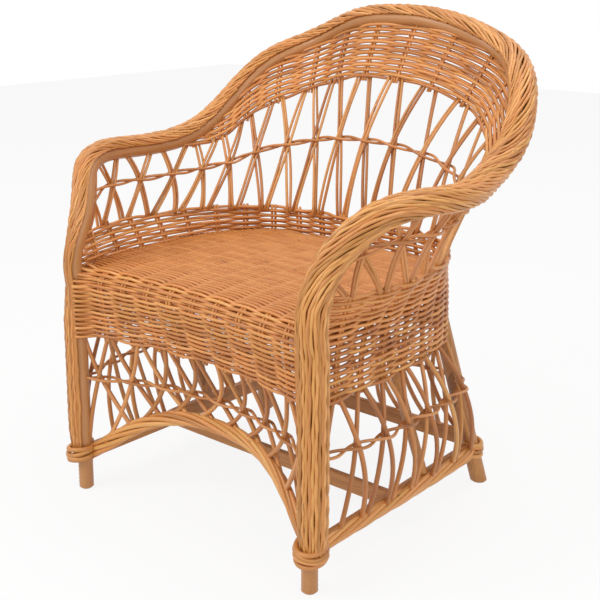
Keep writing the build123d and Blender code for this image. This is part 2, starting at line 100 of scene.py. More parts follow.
def smooth_curve(points: np.ndarray, samples: int) -> np.ndarray:
    """A cubic spline through key points, with one bend running on into the next.

    The parameter is the running chord length. The slopes at the key points solve the
    equations that keep the second derivative whole, and the slope at each end is that
    of the cubic through the four nearest key points.

    Args:
        points: the key points.
        samples: how many points to read along the whole curve.

    Returns:
        The points read, evenly spread over the parameter.
    """
    knots = running_length(points)
    gaps = np.diff(knots)
    rises = np.diff(points, axis=0) / gaps[:, None]
    count = len(points)
    matrix = np.eye(count)
    right = np.empty_like(points)
    inner = np.arange(1, count - 1)
    matrix[inner, inner - 1] = gaps[1:]
    matrix[inner, inner] = 2 * (gaps[:-1] + gaps[1:])
    matrix[inner, inner + 1] = gaps[:-1]
    right[1:-1] = 3 * (gaps[1:, None] * rises[:-1] + gaps[:-1, None] * rises[1:])
    for end, near in ((0, slice(0, 4)), (-1, slice(-4, None))):
        powers = np.vander(knots[near] - knots[end], 4, increasing=True)
        right[end] = np.linalg.solve(powers, points[near])[1]
    slopes = np.linalg.solve(matrix, right)
    wanted = np.linspace(0.0, knots[-1], samples)
    span = np.clip(np.searchsorted(knots, wanted, side="right") - 1, 0, count - 2)
    gap = gaps[span][:, None]
    part = (wanted - knots[span])[:, None] / gap
    return (
        (2 * part**3 - 3 * part**2 + 1) * points[span]
        + (part**3 - 2 * part**2 + part) * gap * slopes[span]
        + (3 * part**2 - 2 * part**3) * points[span + 1]
        + (part**3 - part**2) * gap * slopes[span + 1]
    )


# ---- rods gathered into one mesh ----
@dataclass
class RodBundle:
    """Rods of one piece, gathered as arrays and put into one mesh.

    A rod's surface has two parameters, the place along its path and the angle round it:
    the path's point plus the radius times (cos angle of the outward direction plus sin
    angle of the sideways direction).
    """

    sides: int = 8
    longest_start: float = 50.0
    corners: list[np.ndarray] = field(default_factory=list)
    tones: list[np.ndarray] = field(default_factory=list)
    loops: list[np.ndarray] = field(default_factory=list)
    totals: list[np.ndarray] = field(default_factory=list)
    maps: list[np.ndarray] = field(default_factory=list)
    used: int = 0

    def add(
        self,
        path: np.ndarray,
        away: np.ndarray,
        radius: float | np.ndarray,
        tone: float,
        start: float = 0.0,
    ) -> None:
        """Adds one rod, closed at both ends.

        Args:
            path: the rod's middle line.
            away: a direction off the path, for each point or for all of them.
            radius: the rod's radius, for each point or for all of them.
            tone: how light or dark the rod is, from 0 to 1.
            start: length added to the map along the rod, so that grain differs.
        """
        count = len(path)
        ahead = unit(np.gradient(path, axis=0))
        outward = np.broadcast_to(np.asarray(away, dtype=float), path.shape)
        outward = unit(outward - ahead * dot(ahead, outward))
        sideways = np.cross(ahead, outward)
        radii = np.broadcast_to(np.asarray(radius, dtype=float), (count,))[:, None, None]
        angle = np.linspace(0.0, 2 * np.pi, self.sides, endpoint=False)[None, :, None]
        ring = path[:, None, :] + radii * (
            np.cos(angle) * outward[:, None, :] + np.sin(angle) * sideways[:, None, :]
        )
        index = self.used + np.arange(count * self.sides).reshape(count, self.sides)
        after = np.roll(index, -1, axis=1)
        walls = np.stack([index[:-1], after[:-1], after[1:], index[1:]], axis=-1)
        caps = np.concatenate([index[0, ::-1], index[-1]])
        run = running_length(path) + start
        turn = np.arange(self.sides + 1) / self.sides
        low, high = np.meshgrid(run[:-1], turn[:-1], indexing="ij")[0], run[1:, None]
        high = np.broadcast_to(high, low.shape)
        left = np.broadcast_to(turn[:-1], low.shape)
        right = np.broadcast_to(turn[1:], low.shape)
        wall_map = np.stack(
            [
                np.stack([low, left], axis=-1),
                np.stack([low, right], axis=-1),
                np.stack([high, right], axis=-1),
                np.stack([high, left], axis=-1),
            ],
            axis=2,
        )
        cap_map = np.zeros((2 * self.sides, 2))
        cap_map[: self.sides, 0] = run[0]
        cap_map[self.sides :, 0] = run[-1]
        self.corners.append(ring.reshape(-1, 3))
        self.tones.append(np.full(count * self.sides, tone))
        self.loops.append(np.concatenate([walls.ravel(), caps]))
        self.totals.append(np.concatenate([np.full(walls.size // 4, 4), [self.sides] * 2]))
        self.maps.append(np.concatenate([wall_map.reshape(-1, 2), cap_map]))
        self.used += count * self.sides

    def add_varied(
        self,
        path: np.ndarray,
        away: np.ndarray,
        radius: float | np.ndarray,
        random: np.random.Generator,
    ) -> None:
        """Adds one rod whose tone and start of grain are drawn at random.

        Args:
            path: the rod's middle line.
            away: a direction off the path, for each point or for all of them.
            radius: the rod's radius, for each point or for all of them.
            random: source of the small differences between rods.
        """
        tone = random.random()
        self.add(path, away, radius, tone, random.uniform(0.0, self.longest_start))

    def mesh_object(self, name: str) -> bpy.types.Object:
        """Puts the gathered rods into a mesh object at the origin.

        Args:
            name: the object's name.

        Returns:
            The new object, with its own map and each rod's tone.
        """
        corners = np.concatenate(self.corners)
        loops = np.concatenate(self.loops)
        totals = np.concatenate(self.totals)
        starts = np.concatenate(([0], np.cumsum(totals)[:-1]))
        mesh = bpy.data.meshes.new(name)
        mesh.vertices.add(len(corners))
        mesh.vertices.foreach_set("co", corners.astype(np.float32).ravel())
        mesh.loops.add(len(loops))
        mesh.loops.foreach_set("vertex_index", loops.astype(np.int32))
        mesh.polygons.add(len(totals))
        mesh.polygons.foreach_set("loop_start", starts.astype(np.int32))
        mesh.polygons.foreach_set("use_smooth", totals == 4)
        mesh.update(calc_edges=True)
        layer = mesh.uv_layers.new(name=ROD_UV)
        layer.data.foreach_set("uv", np.concatenate(self.maps).astype(np.float32).ravel())
        tone = mesh.attributes.new(ROD_TONE, "FLOAT", "POINT")
        tone.data.foreach_set("value", np.concatenate(self.tones).astype(np.float32))
        mesh.validate()
        piece = bpy.data.objects.new(name, mesh)
        bpy.context.scene.collection.objects.link(piece)
        return piece


# ---- finishes ----
class GrainAxis(Enum):
    """The axis that the grain of a straight piece of wood runs along."""

    X = "x"
    Y = "y"
    Z = "z"



def new_material(name: str) -> tuple[bpy.types.Material, bpy.types.Node]:
    """Makes an empty node material.

    Args:
        name: the material's name.

    Returns:
        The material and its Principled shader.
    """
    material = bpy.data.materials.new(name)
    material.use_nodes = True
    return material, material.node_tree.nodes["Principled BSDF"]


def noise(
    tree: bpy.types.NodeTree, vector: bpy.types.NodeSocket, scale: Sequence[float], detail: float
) -> bpy.types.NodeSocket:
    """Noise with a scale of its own along each axis.

    Args:
        tree: the material's nodes.
        vector: where the noise is read.
        scale: repeats for each metre, or for each turn, along the three axes.
        detail: how many finer layers are added.

    Returns:
        The noise value, from 0 to 1.
    """
    mapping = tree.nodes.new("ShaderNodeMapping")
    mapping.inputs["Scale"].default_value = scale
    texture = tree.nodes.new("ShaderNodeTexNoise")
    texture.inputs["Scale"].default_value = 1.0
    texture.inputs["Detail"].default_value = detail
    tree.links.new(vector, mapping.inputs["Vector"])
    tree.links.new(mapping.outputs["Vector"], texture.inputs["Vector"])
    return texture.outputs["Fac"]


def ramp(
    tree: bpy.types.NodeTree, value: bpy.types.NodeSocket, stops: Sequence[tuple[float, Colour]]
) -> bpy.types.NodeSocket:
    """Turns a value into a colour.

    Args:
        tree: the material's nodes.
        value: what is turned into a colour.
        stops: a place and the colour there, in rising order.

    Returns:
        The colour.
    """
    node = tree.nodes.new("ShaderNodeValToRGB")
    elements = node.color_ramp.elements
    while len(elements) < len(stops):
        elements.new(1.0)
    for element, (place, colour) in zip(elements, stops):
        element.position = place
        element.color = (*colour, 1.0)
    tree.links.new(value, node.inputs["Fac"])
    return node.outputs["Color"]


def arithmetic(
    tree: bpy.types.NodeTree, kind: str, *values: bpy.types.NodeSocket | float
) -> bpy.types.NodeSocket:
    """Does one step of arithmetic between values or numbers.

    Args:
        tree: the material's nodes.
        kind: the name of the step.
        values: what it is done to, as sockets or numbers.

    Returns:
        The result.
    """
    node = tree.nodes.new("ShaderNodeMath")
    node.operation = kind
    for slot, value in zip(node.inputs, values):
        if isinstance(value, (int, float)):
            slot.default_value = value
        else:
            tree.links.new(value, slot)
    return node.outputs["Value"]


def blended(
    tree: bpy.types.NodeTree,
    kind: str,
    share: bpy.types.NodeSocket | float,
    first: bpy.types.NodeSocket,
    second: bpy.types.NodeSocket | Colour,
) -> bpy.types.NodeSocket:
    """Mixes two colours.

    Args:
        tree: the material's nodes.
        kind: the name of the way they are mixed.
        share: how much of the second is taken.
        first: the colour below, as a socket.
        second: the colour on top, as a socket or a colour.

    Returns:
        The mixed colour.
    """
    node = tree.nodes.new("ShaderNodeMix")
    node.data_type = "RGBA"
    node.blend_type = kind
    if isinstance(share, (int, float)):
        node.inputs["Factor"].default_value = share
    else:
        tree.links.new(share, node.inputs["Factor"])
    tree.links.new(first, node.inputs["A"])
    if isinstance(second, tuple):
        node.inputs["B"].default_value = (*second, 1.0)
    else:
        tree.links.new(second, node.inputs["B"])
    return node.outputs["Result"]


def add_bump(
    tree: bpy.types.NodeTree, shader: bpy.types.Node, height: bpy.types.NodeSocket, depth: float
) -> None:
    """Gives a shader a fine relief.

    Args:
        tree: the material's nodes.
        shader: what gets the relief.
        height: the relief's height, from 0 to 1.
        depth: its depth in metres.
    """
    bump = tree.nodes.new("ShaderNodeBump")
    bump.inputs["Distance"].default_value = depth
    bump.inputs["Strength"].default_value = 1.0
    tree.links.new(height, bump.inputs["Height"])
    tree.links.new(bump.outputs["Normal"], shader.inputs["Normal"])


TINTS: tuple[tuple[float, Colour], ...] = (
    (0.0, (0.97, 0.98, 0.80)),
    (0.35, (1.00, 0.94, 0.84)),
    (0.65, (1.00, 0.84, 0.74)),
    (1.0, (1.00, 0.92, 1.00)),
)


@dataclass(frozen=True)
class RodFinish:
    """Varnished willow whose colour drifts along each rod and differs from rod to rod.

    Fields that end in along are repeats for each metre, and those that end in around are
    repeats for each turn. The level that picks the colour is the sum of tone, drift and
    streak, each times its share. A leaf scar shows where its noise is above scar_above.
    """

    name: str
    dark: Colour
    middle: Colour
    light: Colour
    places: tuple[float, float, float] = (0.34, 0.62, 0.88)
    scar: Colour = (0.16, 0.055, 0.018)
    scar_along: float = 30.0
    scar_around: float = 2.2
    scar_above: float = 0.74
    scar_share: float = 0.55
    drift_along: float = 9.0
    drift_around: float = 0.8
    streak_along: float = 22.0
    streak_around: float = 12.0
    tone_apart: float = 40.0
    tone_share: float = 0.42
    drift_share: float = 0.50
    streak_share: float = 0.34
    tints: tuple[tuple[float, Colour], ...] = TINTS
    tint_share: float = 0.75
    roughness_low: float = 0.34
    roughness_high: float = 0.52
    varnish: float = 0.25
    varnish_roughness: float = 0.3
    relief: float = 0.00025

    def rod_place(
        self, tree: bpy.types.NodeTree, tone: bpy.types.NodeSocket
    ) -> bpy.types.NodeSocket:
        """Reads a rod's own map: length along it, turn round it, and a layer for each tone.

        Args:
            tree: the material's nodes.
            tone: the rod's tone, from 0 to 1.

        Returns:
            The place at which the noises are read.
        """
        rod_map = tree.nodes.new("ShaderNodeUVMap")
        rod_map.uv_map = ROD_UV
        apart = tree.nodes.new("ShaderNodeSeparateXYZ")
        together = tree.nodes.new("ShaderNodeCombineXYZ")
        layer = arithmetic(tree, "MULTIPLY", tone, self.tone_apart)
        tree.links.new(rod_map.outputs["UV"], apart.inputs["Vector"])
        tree.links.new(apart.outputs["X"], together.inputs["X"])
        tree.links.new(apart.outputs["Y"], together.inputs["Y"])
        tree.links.new(layer, together.inputs["Z"])
        return together.outputs["Vector"]

    def material(self) -> bpy.types.Material:
        """Builds the finish: streaks and drift along the rod's own map, leaf scars and sheen.

        Returns:
            The new material.
        """
        material, shader = new_material(self.name)
        tree = material.node_tree
        attribute = tree.nodes.new("ShaderNodeAttribute")
        attribute.attribute_name = ROD_TONE
        tone = attribute.outputs["Fac"]
        place = self.rod_place(tree, tone)
        drift = noise(tree, place, (self.drift_along, self.drift_around, 1.0), detail=2.0)
        streak = noise(tree, place, (self.streak_along, self.streak_around, 1.0), detail=3.0)
        scars = noise(tree, place, (self.scar_along, self.scar_around, 2.0), detail=1.0)
        level = arithmetic(tree, "MULTIPLY", tone, self.tone_share)
        level = arithmetic(tree, "MULTIPLY_ADD", drift, self.drift_share, level)
        level = arithmetic(tree, "MULTIPLY_ADD", streak, self.streak_share, level)
        colour = ramp(tree, level, tuple(zip(self.places, (self.dark, self.middle, self.light))))
        kind = tree.nodes.new("ShaderNodeTexWhiteNoise")
        kind.noise_dimensions = "1D"
        tree.links.new(tone, kind.inputs["W"])
        tint = ramp(tree, kind.outputs["Value"], self.tints)
        colour = blended(tree, "MULTIPLY", self.tint_share, colour, tint)
        spot = arithmetic(tree, "GREATER_THAN", scars, self.scar_above)
        spot = arithmetic(tree, "MULTIPLY", spot, self.scar_share)
        colour = blended(tree, "MIX", spot, colour, self.scar)
        tree.links.new(colour, shader.inputs["Base Color"])
        rough = tree.nodes.new("ShaderNodeMapRange")
        rough.inputs["To Min"].default_value = self.roughness_low
        rough.inputs["To Max"].default_value = self.roughness_high
        tree.links.new(streak, rough.inputs["Value"])
        tree.links.new(rough.outputs["Result"], shader.inputs["Roughness"])
        shader.inputs["Coat Weight"].default_value = self.varnish
        shader.inputs["Coat Roughness"].default_value = self.varnish_roughness
        add_bump(tree, shader, streak, self.relief)
        return material


@dataclass(frozen=True)
class PoleFinish:
    """Peeled pole or sawn strip with straight grain along one axis.

    The level that picks the colour is the sum of broad grain and fine fibres, each times
    its share. A knot shows where its noise is above knot_above.
    """

    name: str
    axis: GrainAxis
    dark: Colour
    light: Colour
    places: tuple[float, float] = (0.36, 0.68)
    knot: Colour = (0.13, 0.045, 0.016)
    knot_above: float = 0.71
    knot_share: float = 0.5
    broad_share: float = 0.6
    fine_share: float = 0.45
    roughness: float = 0.48
    varnish: float = 0.15
    varnish_roughness: float = 0.35
    relief: float = 0.0004

    def stretched(self, along: float, across: float) -> tuple[float, ...]:
        """Noise repeats for each metre: few along the grain and many across it."""
        return tuple(along if axis is self.axis else across for axis in GrainAxis)

    def material(self) -> bpy.types.Material:
        """Builds the finish: long grain, fine fibres and a few darker knots.

        Returns:
            The new material.
        """
        material, shader = new_material(self.name)
        tree = material.node_tree
        place = tree.nodes.new("ShaderNodeTexCoord").outputs["Object"]
        broad = noise(tree, place, self.stretched(along=4.0, across=70.0), detail=3.0)
        fine = noise(tree, place, self.stretched(along=16.0, across=420.0), detail=2.0)
        knots = noise(tree, place, self.stretched(along=9.0, across=30.0), detail=1.0)
        level = arithmetic(tree, "MULTIPLY", broad, self.broad_share)
        level = arithmetic(tree, "MULTIPLY_ADD", fine, self.fine_share, level)
        colour = ramp(tree, level, tuple(zip(self.places, (self.dark, self.light))))
        spot = arithmetic(tree, "GREATER_THAN", knots, self.knot_above)
        spot = arithmetic(tree, "MULTIPLY", spot, self.knot_share)
        colour = blended(tree, "MIX", spot, colour, self.knot)
        tree.links.new(colour, shader.inputs["Base Color"])
        shader.inputs["Roughness"].default_value = self.roughness
        shader.inputs["Coat Weight"].default_value = self.varnish
        shader.inputs["Coat Roughness"].default_value = self.varnish_roughness
        add_bump(tree, shader, fine, self.relief)
        return material


@dataclass(frozen=True)
class NailFinish:
    """Dull steel of a small flat nail head."""

    name: str = "nail_steel"
    dark: Colour = (0.16, 0.15, 0.14)
    light: Colour = (0.42, 0.40, 0.38)
    places: tuple[float, float] = (0.35, 0.65)
    tarnish_scale: float = 600.0
    roughness: float = 0.45
    relief: float = 0.0001

    def material(self) -> bpy.types.Material:
        """Builds the finish: worn steel with a little tarnish.

        Returns:
            The new material.
        """
        material, shader = new_material(self.name)
        tree = material.node_tree
        place = tree.nodes.new("ShaderNodeTexCoord").outputs["Object"]
        tarnish = noise(tree, place, (self.tarnish_scale,) * 3, detail=3.0)
        colour = ramp(tree, tarnish, tuple(zip(self.places, (self.dark, self.light))))
        tree.links.new(colour, shader.inputs["Base Color"])
        shader.inputs["Metallic"].default_value = 1.0
        shader.inputs["Roughness"].default_value = self.roughness
        add_bump(tree, shader, tarnish, self.relief)
        return material


WEAVER = RodFinish(
    "weaver_willow",
    dark=(0.42, 0.150, 0.033),
    middle=(0.64, 0.270, 0.069),
    light=(0.80, 0.400, 0.129),
)
BORDER = RodFinish(
    "border_willow",
    dark=(0.42, 0.172, 0.036),
    middle=(0.66, 0.300, 0.078),
    light=(0.81, 0.430, 0.148),
    tint_share=0.85,
)
SEAT = RodFinish(
    "seat_willow",
    dark=(0.54, 0.196, 0.044),
    middle=(0.61, 0.243, 0.062),
    light=(0.70, 0.303, 0.086),
    tint_share=0.25,
)
STAKE = RodFinish(
    "stake_willow",
    dark=(0.40, 0.150, 0.034),
    middle=(0.60, 0.260, 0.073),
    light=(0.74, 0.380, 0.129),
)
HOOP = RodFinish(
    "hoop_pole",
    dark=(0.34, 0.146, 0.037),
    middle=(0.51, 0.245, 0.076),
    light=(0.64, 0.350, 0.136),
    drift_along=4.0,
    streak_around=36.0,
)
POLE_Z = PoleFinish("pole_upright", GrainAxis.Z, (0.36, 0.140, 0.036), (0.60, 0.280, 0.086))
POLE_Y = PoleFinish("pole_front_to_back", GrainAxis.Y, (0.40, 0.155, 0.038), (0.64, 0.295, 0.088))
POLE_X = PoleFinish("pole_side_to_side", GrainAxis.X, (0.40, 0.155, 0.038), (0.64, 0.295, 0.088))
NAIL = NailFinish()


# ---- the body that all weaving follows ----
@dataclass(frozen=True)
class Level:
    """One level curve of the body: height, widest width, depth at the back and squareness."""

    height: float
    width: float
    back_y: float
    squareness: float


@dataclass
class Body:
    """The flared body: level curves up to the waist, and from there up to the hoop.

    The named places are the hoop's key points on the right side. A field that ends in
    shares puts a further key point between two of them, at a share of the way along each
    axis.
    """

    leg_x: float = 0.2605
    leg_y: float = -0.293
    hoop_radius: float = 0.013
    arm_bend_height: float = 0.441
    straight_lead: float = 0.060
    arm: Place = (0.349, -0.083, 0.573)
    wing: Place = (0.320, 0.124, 0.625)
    shoulder: Place = (0.214, 0.282, 0.759)
    crown: Place = (0.0, 0.276, 0.814)
    low_arm_shares: Place = (0.03, 0.11, 0.38)
    high_arm_shares: Place = (0.53, 0.36, 0.91)
    wing_shares: Place = (0.73, 0.64, 0.27)
    shoulder_shares: Place = (0.44, 0.67, 0.74)
    crown_shares: Place = (0.63, 0.92, 0.90)
    base: Level = Level(0.066, 0.528, 0.202, 15.0)
    twine: Level = Level(0.208, 0.579, 0.141, 8.7)
    hem: Level = Level(0.287, 0.531, 0.160, 5.0)
    waist: Level = Level(0.454, 0.643, 0.144, 3.1)
    flare_share: float = 0.35
    side_middle_y: float = -0.076
    corner_depth: float = 0.150
    back_bow: float = 0.06
    seat_height: float = 0.410
    gap_count: int = 23
    level_samples: int = 400
    hoop_samples: int = 900
    base_curve: np.ndarray = field(init=False, repr=False)
    twine_curve: np.ndarray = field(init=False, repr=False)
    hem_curve: np.ndarray = field(init=False, repr=False)
    waist_curve: np.ndarray = field(init=False, repr=False)
    hoop_curve: np.ndarray = field(init=False, repr=False)
    rim_curve: np.ndarray = field(init=False, repr=False)

    def __post_init__(self) -> None:
        """Works out the curves once, for every piece that follows them."""
        self.base_curve = self.level_curve(self.base)
        self.twine_curve = self.level_curve(self.twine)
        self.hem_curve = self.level_curve(self.hem)
        self.waist_curve = self.level_curve(self.waist)
        self.hoop_curve = self.hoop_line()
        self.rim_curve = self.hoop_curve[self.hoop_curve[:, 2] >= self.waist.height]

    def level_curve(self, level: Level) -> np.ndarray:
        """A squared oval, open at the front, whose sides swell out of the legs.

        Across it goes as cos(angle) to the power 2 / squareness, and back as sin(angle)
        to the same power. The swell grows as one minus the square of what is left of
        the flare's share of the depth.

        Args:
            level: the height and sizes of the curve.

        Returns:
            The curve's points, left leg to right leg.
        """
        angle = np.linspace(0.0, np.pi / 2, self.level_samples)
        back = np.sin(angle) ** (2 / level.squareness)
        across = np.cos(angle) ** (2 / level.squareness)
        flare = 1 - np.maximum(0.0, 1 - back / self.flare_share) ** 2
        x = (self.leg_x + (level.width / 2 - self.leg_x) * flare) * across
        y = self.leg_y + (level.back_y - self.leg_y) * back
        right = np.stack([x, y, np.full_like(x, level.height)], axis=-1)
        return np.concatenate([mirrored(right), right[-2::-1]])

    def hoop_line(self) -> np.ndarray:
        """The hoop's middle line, foot to foot, smooth above the straight posts.

        Its key points are the named ones and one or two between each pair of them, at a
        share of the way from one to the next that differs along each axis.

        Returns:
            The line's points, left foot to right foot.
        """
        post = np.array([self.leg_x, self.leg_y, self.arm_bend_height])
        arm, wing = np.array(self.arm), np.array(self.wing)
        shoulder, crown = np.array(self.shoulder), np.array(self.crown)
        right = np.array(
            [
                post - UP * self.straight_lead,
                post,
                post + (arm - post) * self.low_arm_shares,
                post + (arm - post) * self.high_arm_shares,
                arm,
                arm + (wing - arm) * self.wing_shares,
                wing,
                wing + (shoulder - wing) * self.shoulder_shares,
                shoulder,
                shoulder + (crown - shoulder) * self.crown_shares,
            ]
        )
        keys = np.concatenate([mirrored(right), [crown], right[::-1]])
        foot = np.array([[self.leg_x, self.leg_y, 0.0]])
        return np.concatenate([mirrored(foot), smooth_curve(keys, self.hoop_samples), foot])

    def inward(self, points: np.ndarray) -> np.ndarray:
        """Level direction from places on the body towards the sitter."""
        behind = points[..., 1] - self.side_middle_y
        turn = np.clip(behind / self.corner_depth, 0.0, 1.0)
        return unit(np.stack([-points[..., 0], -turn * np.abs(behind), 0 * behind], axis=-1))

    def back_point(self, share: np.ndarray, level: np.ndarray) -> np.ndarray:
        """The upper body, from the waist to the middle of the hoop.

        A straight rise from one to the other, bowed inwards as 4 level (1 - level).

        Args:
            share: shares of the way round.
            level: 0 at the waist and 1 at the hoop, for each share or for all.

        Returns:
            One point for each share.
        """
        waist = along_chain(self.waist_curve, share)
        rise = along_chain(self.rim_curve, share) - waist
        level = np.broadcast_to(level, np.shape(share))[..., None]
        length = np.linalg.norm(rise, axis=-1, keepdims=True)
        bow = self.back_bow * length * 4 * level * (1 - level)
        return waist + rise * level + self.inward(waist) * bow

    def band_point(self, share: np.ndarray, level: np.ndarray) -> np.ndarray:
        """The waist band, which swells out to the waist as the cube of the level.

        Args:
            share: shares of the way round.
            level: 0 at the hem and 1 at the waist, for each share or for all.

        Returns:
            One point for each share.
        """
        low = along_chain(self.hem_curve, share)
        high = along_chain(self.waist_curve, share)
        level = np.broadcast_to(level, np.shape(share))[..., None]
        swell = dot(high - low, self.inward(low)) * level**3
        return low + self.inward(low) * swell + UP * (self.waist.height - self.hem.height) * level

    def front_point(self, share: np.ndarray, height: np.ndarray, recess: float) -> np.ndarray:
        """The front skirt, which bows back between the front legs as a parabola.

        Args:
            share: shares of the way from the left front leg to the right one.
            height: height above the floor, for each share or for all.
            recess: how far it lies behind the legs at its middle.

        Returns:
            One point for each share.
        """
        side = 2 * share - 1
        height = np.broadcast_to(height, np.shape(share))
        y = self.leg_y + recess * (1 - side * side)
        return np.stack([side * self.leg_x, y, height], axis=-1)

    def rise_at(self, share: np.ndarray) -> np.ndarray:
        """Distance from the waist up to the middle of the hoop, for each share."""
        way = along_chain(self.rim_curve, share) - along_chain(self.waist_curve, share)
        return np.linalg.norm(way, axis=-1)


def outward_of(body: Body, path: np.ndarray, climb: np.ndarray) -> np.ndarray:
    """Direction square to the body's surface, pointing away from the sitter.

    It is the product of the direction along the row and the direction up the body,
    turned away from the sitter where it points inwards.

    Args:
        body: the body that the row lies on.
        path: the row's points.
        climb: a step up the body at each of them.

    Returns:
        One unit vector for each point.
    """
    square = unit(np.cross(np.gradient(path, axis=0), climb))
    facing = np.sign(-dot(square, body.inward(path)))
    return square * np.where(facing == 0, 1.0, facing)


# ---- pieces ----
@dataclass
class Store:
    """Keeps each finish's material, so that it is built once."""

    built: dict[str, bpy.types.Material] = field(default_factory=dict)

    def material(self, finish: RodFinish | PoleFinish | NailFinish) -> bpy.types.Material:
        """The material of a finish, built at its first use."""
        if finish.name not in self.built:
            self.built[finish.name] = finish.material()
        return self.built[finish.name]


def finish_piece(
    bundle: RodBundle,
    name: str,
    nodes: Sequence[str],
    finish: RodFinish,
    store: Store,
) -> None:
    """Makes a bundle into a piece, dresses it and hides the frame's nodes that it stands for.

    Args:
        bundle: the rods of the piece.
        name: the piece's name.
        nodes: the frame's nodes that it stands for.
        finish: what it is dressed in.
        store: where the built materials are kept.
    """
    piece = bundle.mesh_object(name)
    piece.data.materials.append(store.material(finish))
    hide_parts(*nodes)
    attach(piece, BODY_NAME)
    LOG.info("%s: %d corners", name, bundle.used)


@dataclass
class Weaving:
    """Close weaving: thin weavers that pass outside one stake and inside the next.

    Snap says how flat the wave's tops are. Wander is how far a weaver strays up and down
    the sheet, as a slow sine and a share of a quick one.
    """

    weaver_diameter: float = 0.0056
    pitch: float = 0.00515
    swing: float = 0.0040
    stake_diameter: float = 0.0054
    stake_gap: float = 0.0064
    steps_per_gap: int = 8
    snap: float = 1.5
    wander: float = 0.0005
    slow_wander: float = 0.9
    quick_wander: float = 2.3
    quick_share: float = 0.6
    thinnest: float = 0.92
    thickest: float = 1.06

    def wave(self, stations: np.ndarray, row: int, swing: float) -> np.ndarray:
        """How far a weaver stands off the middle of the sheet.

        A cosine that is outside at every second stake, pressed flat towards its tops
        by a hyperbolic tangent.

        Args:
            stations: the stake number reached at each point, whole at a stake.
            row: the row's number, which says where it starts outside.
            swing: how far it goes in and out.

        Returns:
            One distance for each point.
        """
        turn = np.cos(np.pi * (stations + row))
        return swing * np.tanh(self.snap * turn) / math.tanh(self.snap)

    def add_row(
        self,
        bundle: RodBundle,
        path: np.ndarray,
        outward: np.ndarray,
        stations: np.ndarray,
        row: int,
        random: np.random.Generator,
        swing: float | None = None,
    ) -> None:
        """Adds one weaver.

        Args:
            bundle: the rods it is added to.
            path: the middle line of its row on the sheet.
            outward: direction square to the sheet at each point.
            stations: the stake number reached at each point, whole at a stake.
            row: the row's number, which says where it starts outside.
            random: source of the small differences between rods.
            swing: how far it goes in and out, where it isn't the weaving's own.
        """
        reach = self.swing if swing is None else swing
        across = unit(np.cross(np.gradient(path, axis=0), outward))
        phase = random.uniform(0, 2 * np.pi, 2)
        slow = np.sin(stations * self.slow_wander + phase[0])
        drift = slow + self.quick_share * np.sin(stations * self.quick_wander + phase[1])
        line = path + outward * self.wave(stations, row, reach)[:, None]
        line = line + across * (self.wander * drift)[:, None]
        radius = self.weaver_diameter / 2 * random.uniform(self.thinnest, self.thickest)
        bundle.add_varied(line, outward, radius, random)

    def add_stakes(
        self,
        bundle: RodBundle,
        lines: Sequence[np.ndarray],
        body: Body,
        random: np.random.Generator,
    ) -> None:
        """Adds a pair of stakes beside each line that runs up the sheet.

        Args:
            bundle: the rods they are added to.
            lines: the middle line of each pair.
            body: the body that the sheet follows.
            random: source of the small differences between rods.
        """
        for line in lines:
            sideways = unit(np.cross(np.gradient(line, axis=0), body.inward(line)))
            for side in (-0.5, 0.5):
                path = line + sideways * side * self.stake_gap
                bundle.add_varied(path, body.inward(line), self.stake_diameter / 2, random)


@dataclass
class WaistBand:
    """The woven band that runs round three sides, from under the seat to the waist.

    The stakes' foot and head are levels, a little beyond the band's own 0 and 1.
    """

    body: Body
    weaving: Weaving
    climb_step: float = 0.02
    stake_foot: float = -0.03
    stake_head: float = 1.03
    stake_points: int = 14
    seed: int = 11

    def build(self, store: Store) -> None:
        """Weaves the rows along the body's levels and sets the stakes in them.

        Args:
            store: where the built materials are kept.
        """
        random = np.random.default_rng(self.seed)
        body = self.body
        bundle = RodBundle(sides=6)
        length = running_length(body.waist_curve)[-1]
        end = body.hoop_radius / length
        share = np.linspace(end, 1 - end, body.gap_count * self.weaving.steps_per_gap + 1)
        rise = body.waist.height - body.hem.height
        rows = int(round(rise / self.weaving.pitch))
        for row in range(rows + 1):
            level = row / rows
            path = body.band_point(share, level)
            above = body.band_point(share, level + self.climb_step)
            below = body.band_point(share, level - self.climb_step)
            outward = outward_of(body, path, above - below)
            self.weaving.add_row(bundle, path, outward, share * body.gap_count, row, random)
        levels = np.linspace(self.stake_foot, self.stake_head, self.stake_points)
        lines = [
            body.band_point(np.full_like(levels, station / body.gap_count), levels)
            for station in range(1, body.gap_count)
        ]
        self.weaving.add_stakes(bundle, lines, body, random)
        finish_piece(bundle, "waist_band_weaving", ["waist_band"], WEAVER, store)


